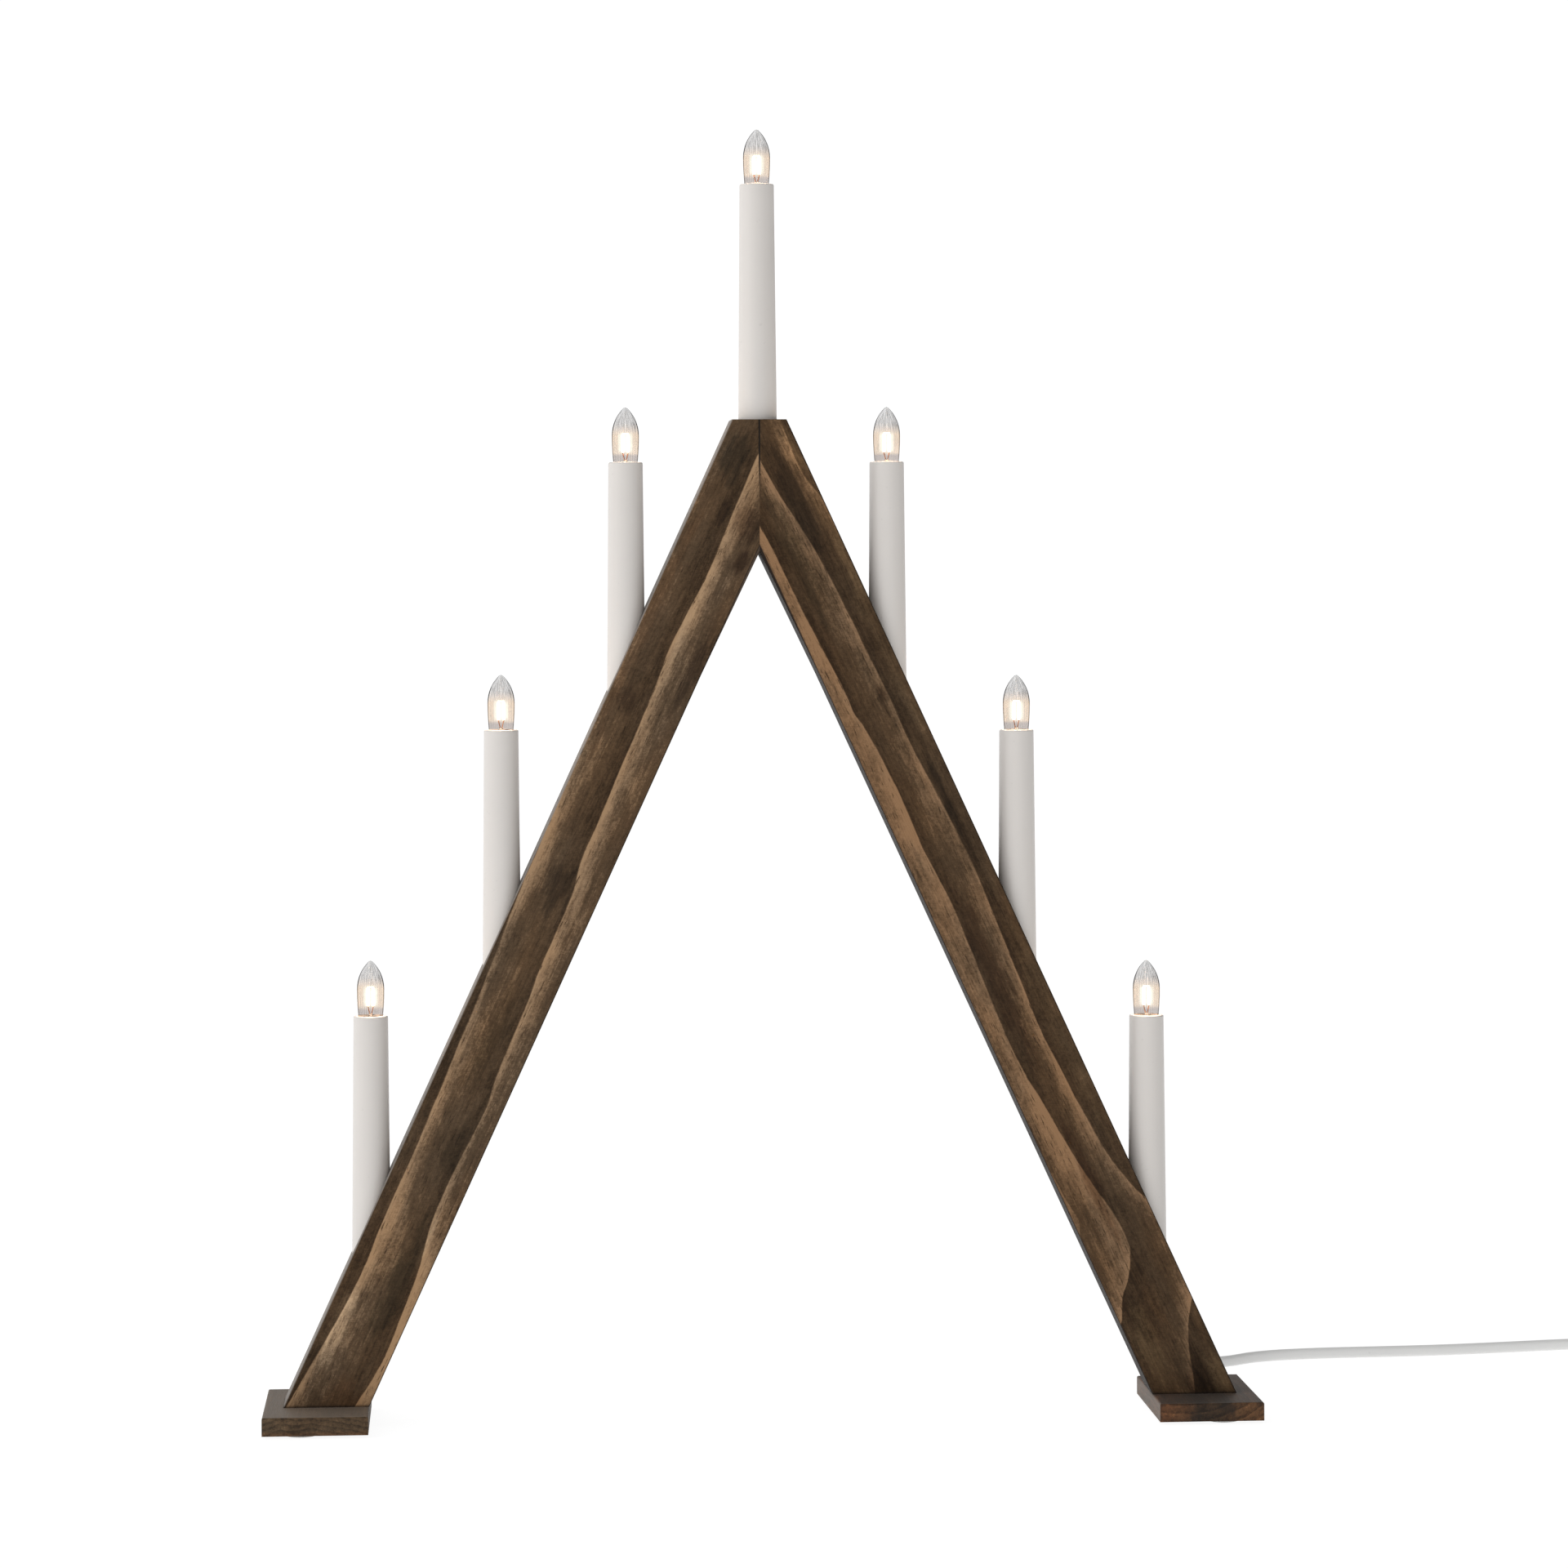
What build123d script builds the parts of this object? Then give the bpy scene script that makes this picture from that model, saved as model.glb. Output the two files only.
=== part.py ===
from build123d import *
import math
import os

# A triangular candle arch: two mitred pine legs on plank feet, seven electric candles.
# X runs left to right, the front faces -Y, Z is up from the table, and the origin lies
# under the middle of the arch.

OVERRUN = 2.0  # how far a cutting tool runs past the face that it opens

# The wooden arch
LEG_LEAN = 24.66  # degrees from upright
LEG_WIDTH = 38.0
LEG_DEPTH = 28.0
TOP_HEIGHT = 490.0  # the flat top that is sawn across the mitre
TOP_WIDTH = 26.8
LEG_EDGE_ROUND = 0.8
FLARE_LENGTH = 63.0  # below the inner corner, the strips grow a little wider towards it
FLARE_DROP = 2.7  # how much lower that makes the inner corner
FOOT_WIDTH = 51.0
FOOT_DEPTH = 80.0
FOOT_THICKNESS = 9.0
FOOT_EDGE_ROUND = 1.0
PAD_RADIUS = 8.4
PAD_THICKNESS = 1.5
PAD_INSET = 5.0  # from the foot's front or back edge to the pad
PAD_OUTWARD = 7.0  # the pads are stuck on outside the middle of the foot

# Dowels and screws
DOWEL_RADIUS = 3.0
DOWEL_LENGTH = 30.0
DOWEL_DROPS = (34.0, 51.0)  # below the flat top
DOWEL_FORWARD = 2.0
DOWEL_CHAMFER = 0.6
WOOD_FIT = 0.05  # radial room round a dowel or a screw
DOWEL_END_ROOM = 0.5
SCREW_LENGTH = 26.0
SCREW_SHANK_RADIUS = 1.6
SCREW_HEAD_RADIUS = 3.5
SCREW_TIP_LENGTH = 4.0
SCREW_SPACING = 18.0
SCREW_INWARD = 3.0  # towards the middle, because the leg leans that way
SCREW_FORWARD = 4.0

# The groove in the back of the legs and its cover strips
GROOVE_WIDTH = 8.0
GROOVE_DEPTH = 11.0
COVER_WIDTH = 12.0
COVER_THICKNESS = 3.0
COVER_ROOM = 0.1
COVER_TOP_DROP = 14.0  # the strips and the groove end this far below the flat top
LEFT_COVER_MARGIN = 7.2  # the left ones end this far below the lowest candle's hole

# The candle tubes: which share of the leg's height each candle's seat lies below the
# flat top, and how far its foot stands in from the outer edge of the leg. The two legs
# differ a little.
SEAT_SHARES = {
    "left_high": 0.2847,
    "left_middle": 0.5577,
    "left_low": 0.8484,
    "right_high": 0.2847,
    "right_middle": 0.5606,
    "right_low": 0.8553,
}
SEAT_INSETS = {
    "left_high": 1.6,
    "left_middle": 0.3,
    "left_low": 0.1,
    "right_high": 3.0,
    "right_middle": 0.0,
    "right_low": 0.8,
}
TUBE_LENGTH = 116.0
TUBE_BASE_RADIUS = 9.45
TUBE_TOP_RADIUS = 8.45
TUBE_WALL = 1.2
TUBE_LIP = 1.3  # the thickness of the ring at the top
TUBE_RIM_ROUND = 0.9
TUBE_MOUTH_RADIUS = 6.5
SEAT_ROOM = 0.15  # radial room of the tube in its drilled seat
PLUG_HEIGHT = 9.0  # the bush inside the foot of the tube
BUSH_RADIUS = 5.5
BUSH_LENGTH = 10.0
BUSH_BORE_RADIUS = 3.8
BUSH_ROOM = 0.1
BORE_DEPTH = 18.0  # the hole under the seat, down into the groove

# The lampholder in the top of each tube
HOLDER_LENGTH = 23.0
HOLDER_ROOM = 0.1
HOLDER_FLOOR = 3.0
HOLDER_CUP_DEPTH = 3.2
HOLDER_CUP_RADIUS = 6.4
SHELL_INNER_RADIUS = 5.0
SHELL_WALL = 0.4
SHELL_LENGTH = 12.0
CONTACT_RADIUS = 2.6
CONTACT_THICKNESS = 0.5
RIVET_RADIUS = 1.0
WIRE_HOLE_ROOM = 0.2

# The bulb: heights are counted from the top of the tube
ENVELOPE_FOOT_RADIUS = 6.0
ENVELOPE_BELLY_RADIUS = 6.65
ENVELOPE_BELLY_HEIGHT = 13.0
ENVELOPE_HEIGHT = 26.9
ENVELOPE_TIP_RADIUS = 0.5
ENVELOPE_WALL = 0.8
ENVELOPE_DROP = 2.4  # how far the envelope reaches down into the tube
ENVELOPE_NECK_RADIUS = 4.95
CAP_THREAD_RADIUS = 4.7
CAP_COLLAR_RADIUS = 4.95
CAP_COLLAR_HEIGHT = 1.6
CAP_LENGTH = 13.0
CAP_WALL = 0.5
CAP_TIP_RADIUS = 1.6
CAP_TIP_HEIGHT = 1.4
CAP_SHOULDER = 2.2
CONTACT_GAP = 0.3
STEM_RADIUS = 2.2
STEM_TOP_RADIUS = 0.9
STEM_TOP_HEIGHT = 1.0
FILAMENT_RADIUS = 0.7
FILAMENT_LENGTH = 8.6
FILAMENT_BOTTOM = 4.9
FILAMENT_SPACING = 2.6
LEAD_RADIUS = 0.25
LEAD_END = 0.5

# The wires in the groove and up each tube
WIRE_RADIUS = 0.9
WIRE_SPACING = 3.2
WIRE_LOW_END = 26.0  # where the wires leave the cord, above the table
RISER_FOOT_SHARE = 0.7  # how far down the hole under the seat a riser starts

# The cord's gland on the right cover strip
GLAND_HEIGHT = 24.0
GLAND_FLANGE_RADIUS = 5.4
GLAND_FLANGE_THICKNESS = 1.6
GLAND_NECK_RADIUS = 4.0
GLAND_NOSE_LENGTH = 20.0
GLAND_NOSE_RADIUS = 4.5
GLAND_END_RADIUS = 3.6
GLAND_RING_COUNT = 4
GLAND_RING_DEPTH = 0.6
GLAND_RING_WIDTH = 1.4

# The cord and its plug: a flat twin cord, drawn as a round tube of its width
CORD_DIAMETER = 5.8
COIL_X = 500.0
COIL_OUTER_RADIUS = 41.0
COIL_PITCH = 6.3
COIL_HALF_TURNS = 6  # in the lower layer; the upper one has one less
PLUG_ROW_Y = 56.6  # the plug's middle line, in front of the coil, so far back that both pins clear the feet
PLUG_BODY_LENGTH = 33.0
PLUG_WIDTH = 35.0
PLUG_THICKNESS = 13.7
PLUG_BACK_WIDTH = 13.0
PLUG_BACK_THICKNESS = 10.0
PLUG_STRAIGHT_SHARE = 0.45
PLUG_RELIEF_LENGTH = 22.0
PLUG_RELIEF_RADIUS = 4.4
PLUG_RELIEF_END_RADIUS = 3.4
PLUG_RING_COUNT = 4
PLUG_RING_WIDTH = 1.6
PLUG_RING_DEPTH = 0.7
PIN_RADIUS = 2.0
PIN_LENGTH = 19.0
PIN_SPACING = 18.6

# What follows from the sizes above
SLOPE = math.tan(math.radians(LEG_LEAN))
LEG_SPAN = LEG_WIDTH / math.cos(math.radians(LEG_LEAN))
FOOT_TOP = PAD_THICKNESS + FOOT_THICKNESS
BACK = LEG_DEPTH / 2
GROOVE_FLOOR = BACK - GROOVE_DEPTH
COVER_INSIDE = BACK - COVER_THICKNESS
CORD_RADIUS = CORD_DIAMETER / 2


def outer_x(height):
    return TOP_WIDTH / 2 + SLOPE * (TOP_HEIGHT - height)


def inner_x(height):
    return outer_x(height) - LEG_SPAN


def middle_x(height):
    return outer_x(height) - LEG_SPAN / 2


def height_where_outer_is(x):
    return TOP_HEIGHT - (x - TOP_WIDTH / 2) / SLOPE


def height_where_middle_is(x):
    return height_where_outer_is(x + LEG_SPAN / 2)


FOOT_INNER_X = inner_x(FOOT_TOP)
FOOT_MIDDLE_X = FOOT_INNER_X + FOOT_WIDTH / 2


def candle_places():
    """Each candle's name with the middle of its seat."""
    places = {"top": (0, 0, TOP_HEIGHT)}
    for name, share in SEAT_SHARES.items():
        sign = 1 if name.startswith("right") else -1
        seat = TOP_HEIGHT - (TOP_HEIGHT - FOOT_TOP) * share
        x = outer_x(seat) - TUBE_BASE_RADIUS - SEAT_INSETS[name]
        places[name] = (sign * x, 0, seat)
    return places


PLACES = candle_places()
LEFT_COVER_END = PLACES["left_low"][2] - BORE_DEPTH - LEFT_COVER_MARGIN


def front_plate(points, front, back):
    """A plate with the given XZ outline, from y = front to y = back."""
    face = make_face(Polyline(*[(x, 0, z) for x, z in points], close=True))
    return Pos(0, front, 0) * extrude(face, amount=back - front, dir=(0, 1, 0))


def upright(radius, bottom, top, x=0, y=0):
    """A round bar along Z."""
    middle = (bottom + top) / 2
    return Pos(x, y, middle) * Cylinder(radius, top - bottom)


def turned(points):
    """A solid turned about Z from a closed outline of (radius, height) points."""
    outline = Polyline(*[(radius, 0, height) for radius, height in points], close=True)
    return revolve(make_face(outline), Axis.Z)


def save(node, *solids):
    """Writes one node, as a solid or as a group of separate solids."""
    shape = solids[0] if len(solids) == 1 else Compound(children=list(solids))
    export_step(shape, f"parts/{node}.step")


# The legs

ALONG_SHARE = 0.999  # the cosine that takes in the flare but not the cut ends


def strip_outline(width, low):
    """The XZ outline of a strip along the middle of the right leg, up to the mitre."""
    half = width / math.cos(math.radians(LEG_LEAN)) / 2
    top = TOP_HEIGHT - COVER_TOP_DROP
    return [
        (middle_x(low) - half, low),
        (middle_x(low) + half, low),
        (middle_x(top) + half, top),
        (0, top),
        (0, height_where_middle_is(half)),
    ]


def leg_blank():
    corner = TOP_HEIGHT - (LEG_SPAN - TOP_WIDTH / 2) / SLOPE
    flare_start = corner - FLARE_LENGTH
    outline = [
        (0, corner - FLARE_DROP),
        (inner_x(flare_start), flare_start),
        (inner_x(FOOT_TOP), FOOT_TOP),
        (outer_x(FOOT_TOP), FOOT_TOP),
        (TOP_WIDTH / 2, TOP_HEIGHT),
        (0, TOP_HEIGHT),
    ]
    blank = front_plate(outline, -BACK, BACK)
    along = Vector(SLOPE, 0, -1).normalized()
    long_edges = [e for e in blank.edges() if abs((e % 0.5).dot(along)) > ALONG_SHARE]
    return fillet(long_edges, LEG_EDGE_ROUND)


def candle_seat(x, seat):
    """The drilled seat for a tube, open at the top, and the hole under it."""
    radius = TUBE_BASE_RADIUS + SEAT_ROOM
    roof = height_where_outer_is(x - radius) + OVERRUN
    pocket = upright(radius, seat, roof, x)
    hole = upright(BUSH_RADIUS + BUSH_ROOM, seat - BORE_DEPTH, seat + OVERRUN, x)
    return [pocket, hole]


def dowel_holes():
    reach = DOWEL_LENGTH / 2 + DOWEL_END_ROOM
    tool = Rot(0, 90, 0) * Cylinder(DOWEL_RADIUS + WOOD_FIT, reach * 2)
    return [Pos(0, -DOWEL_FORWARD, TOP_HEIGHT - drop) * tool for drop in DOWEL_DROPS]


def screw_xs():
    middle = middle_x(FOOT_TOP) - SCREW_INWARD
    return [middle - SCREW_SPACING / 2, middle + SCREW_SPACING / 2]


def right_leg(side, groove_end):
    """The right leg with the seats of the given side; the left one is a mirror image."""
    leg = leg_blank()
    groove = strip_outline(GROOVE_WIDTH, groove_end)
    rebate = strip_outline(COVER_WIDTH + COVER_ROOM * 2, groove_end)
    leg -= front_plate(groove, GROOVE_FLOOR, BACK + OVERRUN)
    leg -= front_plate(rebate, COVER_INSIDE, BACK + OVERRUN)
    for name, (x, _, seat) in PLACES.items():
        if name.startswith(side):
            for tool in candle_seat(abs(x), seat):
                leg -= tool
    leg -= upright(BUSH_RADIUS + BUSH_ROOM, TOP_HEIGHT - BORE_DEPTH, TOP_HEIGHT + OVERRUN)
    for tool in dowel_holes():
        leg -= tool
    screw_top = PAD_THICKNESS + SCREW_LENGTH + DOWEL_END_ROOM
    for x in screw_xs():
        leg -= upright(SCREW_SHANK_RADIUS + WOOD_FIT, FOOT_TOP - OVERRUN, screw_top, x, -SCREW_FORWARD)
    return leg


def right_cover(groove_end):
    return front_plate(strip_outline(COVER_WIDTH, groove_end), COVER_INSIDE, BACK)


# The feet and what fastens them


def countersunk_screw():
    """A wood screw, point up, with its head flush at z = 0."""
    cone = SCREW_HEAD_RADIUS - SCREW_SHANK_RADIUS
    return turned(
        [
            (0, 0),
            (SCREW_HEAD_RADIUS, 0),
            (SCREW_SHANK_RADIUS, cone),
            (SCREW_SHANK_RADIUS, SCREW_LENGTH - SCREW_TIP_LENGTH),
            (0, SCREW_LENGTH),
        ]
    )


def countersunk_hole():
    cone = SCREW_HEAD_RADIUS - SCREW_SHANK_RADIUS
    head, shank = SCREW_HEAD_RADIUS + WOOD_FIT, SCREW_SHANK_RADIUS + WOOD_FIT
    return turned(
        [
            (0, -OVERRUN),
            (head, -OVERRUN),
            (head, 0),
            (shank, cone),
            (shank, FOOT_THICKNESS + OVERRUN),
            (0, FOOT_THICKNESS + OVERRUN),
        ]
    )


def right_foot():
    middle = PAD_THICKNESS + FOOT_THICKNESS / 2
    foot = Pos(FOOT_MIDDLE_X, 0, middle) * Box(FOOT_WIDTH, FOOT_DEPTH, FOOT_THICKNESS)
    foot = fillet(foot.edges().group_by(Axis.Z)[-1], FOOT_EDGE_ROUND)
    for x in screw_xs():
        foot -= Pos(x, -SCREW_FORWARD, PAD_THICKNESS) * countersunk_hole()
    return foot


def foot_pads():
    y = FOOT_DEPTH / 2 - PAD_INSET - PAD_RADIUS
    x = FOOT_MIDDLE_X + PAD_OUTWARD
    return [upright(PAD_RADIUS, 0, PAD_THICKNESS, sx * x, sy * y) for sx in (-1, 1) for sy in (-1, 1)]


def foot_screws():
    return [
        Pos(sign * x, -SCREW_FORWARD, PAD_THICKNESS) * countersunk_screw()
        for sign in (-1, 1)
        for x in screw_xs()
    ]


def apex_dowels():
    dowel = Rot(0, 90, 0) * Cylinder(DOWEL_RADIUS, DOWEL_LENGTH)
    dowel = chamfer(dowel.edges().filter_by(GeomType.CIRCLE), DOWEL_CHAMFER)
    return [Pos(0, -DOWEL_FORWARD, TOP_HEIGHT - drop) * dowel for drop in DOWEL_DROPS]


# The candles, each built with its seat or its rim at the origin

TUBE_TAPER = (TUBE_BASE_RADIUS - TUBE_TOP_RADIUS) / TUBE_LENGTH
HOLDER_TOP = -TUBE_LIP  # from the tube's top edge down


def tube_inner_radius(height):
    return TUBE_BASE_RADIUS - TUBE_TAPER * height - TUBE_WALL


def candle_tube():
    """The tapered white sleeve, open below, with a rolled rim round its mouth."""
    ceiling = TUBE_LENGTH - TUBE_LIP
    outline = [
        (TUBE_BASE_RADIUS, 0),
        (TUBE_TOP_RADIUS, TUBE_LENGTH),
        (TUBE_MOUTH_RADIUS, TUBE_LENGTH),
        (TUBE_MOUTH_RADIUS, ceiling),
        (tube_inner_radius(ceiling), ceiling),
        (tube_inner_radius(0), 0),
    ]
    tube = turned(outline)
    rims = tube.edges().filter_by(GeomType.CIRCLE).group_by(Axis.Z)[-1]
    return fillet(rims.sort_by(SortBy.RADIUS)[-1], TUBE_RIM_ROUND)


def tube_bush():
    """The moulded bush that pins a tube's foot into the hole under its seat."""
    plug = tube_inner_radius(PLUG_HEIGHT) - BUSH_ROOM
    return turned(
        [
            (BUSH_BORE_RADIUS, -BUSH_LENGTH),
            (BUSH_RADIUS, -BUSH_LENGTH),
            (BUSH_RADIUS, 0),
            (plug, 0),
            (plug, PLUG_HEIGHT),
            (BUSH_BORE_RADIUS, PLUG_HEIGHT),
        ]
    )


def lampholder():
    """The screw lampholder's moulding, pressed up under the ring of the tube."""
    outer = tube_inner_radius(TUBE_LENGTH) - HOLDER_ROOM
    bore = SHELL_INNER_RADIUS + SHELL_WALL
    bottom = HOLDER_TOP - HOLDER_LENGTH
    cup = HOLDER_TOP - HOLDER_CUP_DEPTH
    body = turned(
        [
            (0, bottom),
            (outer, bottom),
            (outer, HOLDER_TOP),
            (HOLDER_CUP_RADIUS, HOLDER_TOP),
            (HOLDER_CUP_RADIUS, cup),
            (bore, cup),
            (bore, bottom + HOLDER_FLOOR),
            (0, bottom + HOLDER_FLOOR),
        ]
    )
    for sign in (-1, 1):
        hole = WIRE_RADIUS + WIRE_HOLE_ROOM
        body -= upright(hole, bottom - OVERRUN, bottom + HOLDER_FLOOR + OVERRUN, sign * WIRE_SPACING / 2)
    return body


def socket_shell():
    """The brass sleeve that takes the bulb's screw cap."""
    top = HOLDER_TOP - HOLDER_CUP_DEPTH
    outer = SHELL_INNER_RADIUS + SHELL_WALL
    sleeve = upright(outer, top - SHELL_LENGTH, top)
    return sleeve - upright(SHELL_INNER_RADIUS, top - SHELL_LENGTH - OVERRUN, top + OVERRUN)


CAP_TOP = -ENVELOPE_DROP
CAP_BOTTOM = CAP_TOP - CAP_LENGTH
CONTACT_TOP = CAP_BOTTOM - CAP_TIP_HEIGHT - CONTACT_GAP


def socket_contact():
    """The centre contact on its rivet, a hair below the tip of the cap."""
    floor = HOLDER_TOP - HOLDER_LENGTH + HOLDER_FLOOR
    return turned(
        [
            (0, floor),
            (RIVET_RADIUS, floor),
            (RIVET_RADIUS, CONTACT_TOP - CONTACT_THICKNESS),
            (CONTACT_RADIUS, CONTACT_TOP - CONTACT_THICKNESS),
            (CONTACT_RADIUS, CONTACT_TOP),
            (0, CONTACT_TOP),
        ]
    )


def ogive(belly, height, tip):
    """The radius of the arc that runs upright past the belly and in to the tip."""
    rise = height - ENVELOPE_BELLY_HEIGHT
    inward = belly - tip
    return (inward**2 + rise**2) / (2 * inward)


def envelope_profile(shrink):
    """Half the bulb's outline from the neck to the tip, moved in by shrink."""
    foot = ENVELOPE_FOOT_RADIUS - shrink
    neck = ENVELOPE_NECK_RADIUS - shrink
    belly = ENVELOPE_BELLY_RADIUS - shrink
    tip = ENVELOPE_TIP_RADIUS * (ENVELOPE_BELLY_RADIUS - shrink) / ENVELOPE_BELLY_RADIUS
    height = ENVELOPE_HEIGHT - shrink * 2
    radius = ogive(belly, height, tip)
    half_rise = (height - ENVELOPE_BELLY_HEIGHT) / 2
    half_inward = radius - math.sqrt(radius**2 - half_rise**2)
    return [
        Line((neck, 0, -ENVELOPE_DROP), (foot, 0, 0)),
        TangentArc((belly, 0, ENVELOPE_BELLY_HEIGHT), (foot, 0, 0), tangent=(0, 0, -1)),
        ThreePointArc(
            (belly, 0, ENVELOPE_BELLY_HEIGHT),
            (belly - half_inward, 0, ENVELOPE_BELLY_HEIGHT + half_rise),
            (tip, 0, height),
        ),
    ]


def bulb_envelope():
    """The clear candle-shaped envelope, hollow and open at its neck."""
    outer = envelope_profile(0)
    inner = envelope_profile(ENVELOPE_WALL)
    tip_out = (ENVELOPE_TIP_RADIUS, 0, ENVELOPE_HEIGHT)
    tip_in = inner[-1] @ 1
    outline = Wire(
        [
            *[line.edge() for line in outer],
            Line(tip_out, (0, 0, ENVELOPE_HEIGHT)).edge(),
            Line((0, 0, ENVELOPE_HEIGHT), (0, 0, tip_in.Z)).edge(),
            Line((0, 0, tip_in.Z), tip_in).edge(),
            *[line.edge() for line in inner],
            Line(inner[0] @ 0, outer[0] @ 0).edge(),
        ]
    )
    return revolve(make_face(outline), Axis.Z)


def bulb_cap():
    """The screw cap: a rolled collar, the threaded skirt and the tip contact."""
    skirt = CAP_BOTTOM + CAP_SHOULDER
    inside = CAP_THREAD_RADIUS - CAP_WALL
    collar = CAP_TOP - CAP_COLLAR_HEIGHT
    return turned(
        [
            (0, CAP_BOTTOM - CAP_TIP_HEIGHT),
            (CAP_TIP_RADIUS, CAP_BOTTOM - CAP_TIP_HEIGHT),
            (CAP_TIP_RADIUS, CAP_BOTTOM),
            (CAP_THREAD_RADIUS, skirt),
            (CAP_THREAD_RADIUS, collar),
            (CAP_COLLAR_RADIUS, collar),
            (CAP_COLLAR_RADIUS, CAP_TOP),
            (inside, CAP_TOP),
            (inside, skirt + CAP_WALL),
            (0, skirt + CAP_WALL),
        ]
    )


def bulb_stem():
    """The glass stem that carries the leads up out of the cap."""
    bottom = CAP_BOTTOM + CAP_SHOULDER + CAP_WALL
    return turned(
        [
            (0, bottom),
            (STEM_RADIUS, bottom),
            (STEM_RADIUS, CAP_TOP),
            (STEM_TOP_RADIUS, STEM_TOP_HEIGHT),
            (0, STEM_TOP_HEIGHT),
        ]
    )


def bulb_filaments():
    """Two upright filaments on their leads, joined by a bridge of wire at the top."""
    solids = []
    top = FILAMENT_BOTTOM + FILAMENT_LENGTH
    for sign in (-1, 1):
        x = sign * FILAMENT_SPACING / 2
        rod = upright(FILAMENT_RADIUS, FILAMENT_BOTTOM, top, x)
        post = upright(LEAD_RADIUS, top, top + LEAD_END, x)
        start = (sign * STEM_TOP_RADIUS / 2, 0, STEM_TOP_HEIGHT)
        bend = Polyline(start, (x, 0, FILAMENT_BOTTOM - LEAD_END), (x, 0, FILAMENT_BOTTOM))
        lead = sweep(Plane(start, z_dir=bend % 0) * Circle(LEAD_RADIUS), path=bend, transition=Transition.RIGHT)
        solids.append(rod + post + lead)
    bridge = Rot(0, 90, 0) * Cylinder(LEAD_RADIUS, FILAMENT_SPACING + LEAD_RADIUS * 2)
    return solids[0] + Pos(0, 0, top + LEAD_END) * bridge + solids[1]


# The wires


def harness():
    """Two wires along each groove, and two up each tube to its lampholder."""
    wires = []
    y = COVER_INSIDE - WIRE_RADIUS
    ends = {-1: LEFT_COVER_END, 1: WIRE_LOW_END}
    top = height_where_middle_is(WIRE_SPACING)
    for sign, low in ends.items():
        for offset in (-WIRE_SPACING / 2, WIRE_SPACING / 2):
            start = Vector(sign * (middle_x(low) + offset), y, low + WIRE_RADIUS)
            end = Vector(sign * (middle_x(top) + offset), y, top)
            run = end - start
            bar = Cylinder(WIRE_RADIUS, run.length)
            wires.append(Plane((start + end) / 2, z_dir=run) * bar)
    for x, _, seat in PLACES.values():
        foot = seat - BORE_DEPTH * RISER_FOOT_SHARE
        head = seat + TUBE_LENGTH + HOLDER_TOP - HOLDER_LENGTH + HOLDER_FLOOR
        for sign in (-1, 1):
            wires.append(upright(WIRE_RADIUS, foot, head, x + sign * WIRE_SPACING / 2))
    return wires


# The gland, the cord, its coil and the plug


def ringed_cone(root_radius, end_radius, length, count, width, depth):
    """A tapered bend relief along +Z with grooves round it."""
    outline = [(0, 0), (root_radius, 0)]
    spacing = length / (count + 1)
    for index in range(count):
        middle = spacing * (index + 1)
        radius = root_radius + (end_radius - root_radius) * middle / length
        outline += [
            (radius, middle - width / 2),
            (radius - depth, middle - width / 2),
            (radius - depth, middle + width / 2),
            (radius, middle + width / 2),
        ]
    outline += [(end_radius, length), (0, length)]
    return turned(outline)


GLAND_X = middle_x(GLAND_HEIGHT)
GLAND_END = BACK + GLAND_FLANGE_THICKNESS + GLAND_NOSE_LENGTH


def cord_gland():
    """The gland through the cover strip; its nose points straight back."""
    nose = ringed_cone(
        GLAND_NOSE_RADIUS,
        GLAND_END_RADIUS,
        GLAND_NOSE_LENGTH,
        GLAND_RING_COUNT,
        GLAND_RING_WIDTH,
        GLAND_RING_DEPTH,
    )
    body = Pos(0, 0, GLAND_FLANGE_THICKNESS) * nose
    body += upright(GLAND_FLANGE_RADIUS, 0, GLAND_FLANGE_THICKNESS)
    body += upright(GLAND_NECK_RADIUS, -COVER_THICKNESS, 0)
    return Plane((GLAND_X, BACK, GLAND_HEIGHT), z_dir=(0, 1, 0)) * body


def gland_hole():
    tool = Cylinder(GLAND_NECK_RADIUS + WOOD_FIT, (COVER_THICKNESS + OVERRUN) * 2)
    return Plane((GLAND_X, BACK, GLAND_HEIGHT), z_dir=(0, 1, 0)) * tool


# The cord's route, chosen by eye along its middle: out of the gland, down on to the
# table behind the foot, and off to the right
COIL_START_X = COIL_X - CORD_DIAMETER
CORD_ROUTE = [
    (GLAND_X, GLAND_END, GLAND_HEIGHT),
    (GLAND_X, 58.0, GLAND_HEIGHT),
    (213.0, 80.0, 17.0),
    (228.0, 99.0, 6.8),
    (247.0, 117.5, CORD_RADIUS),
    (269.0, 136.5, CORD_RADIUS),
    (301.0, 142.5, CORD_RADIUS),
    (333.0, 144.0, CORD_RADIUS),
    (368.0, 146.0, CORD_RADIUS),
    (404.0, 152.0, CORD_RADIUS),
    (438.0, 158.5, CORD_RADIUS),
    (468.0, 160.6, CORD_RADIUS),
    (COIL_START_X, 160.6, CORD_RADIUS),
]
COIL_BACK_Y = CORD_ROUTE[-1][1]
BEND_SHARE = 0.45  # the share of the shorter run that a bend may take up


def bend_radii(route):
    """Each bend as large as its two runs allow."""
    radii = []
    for before, here, after in zip(route, route[1:], route[2:]):
        first, second = Vector(here) - Vector(before), Vector(after) - Vector(here)
        turn = math.radians(first.get_angle(second))
        radii.append(BEND_SHARE * min(first.length, second.length) / math.tan(turn / 2))
    return radii


def tube_along(path):
    """A round tube swept along a path."""
    start = Plane(path @ 0, z_dir=path % 0)
    return sweep(start * Circle(CORD_RADIUS), path=path)


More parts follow.
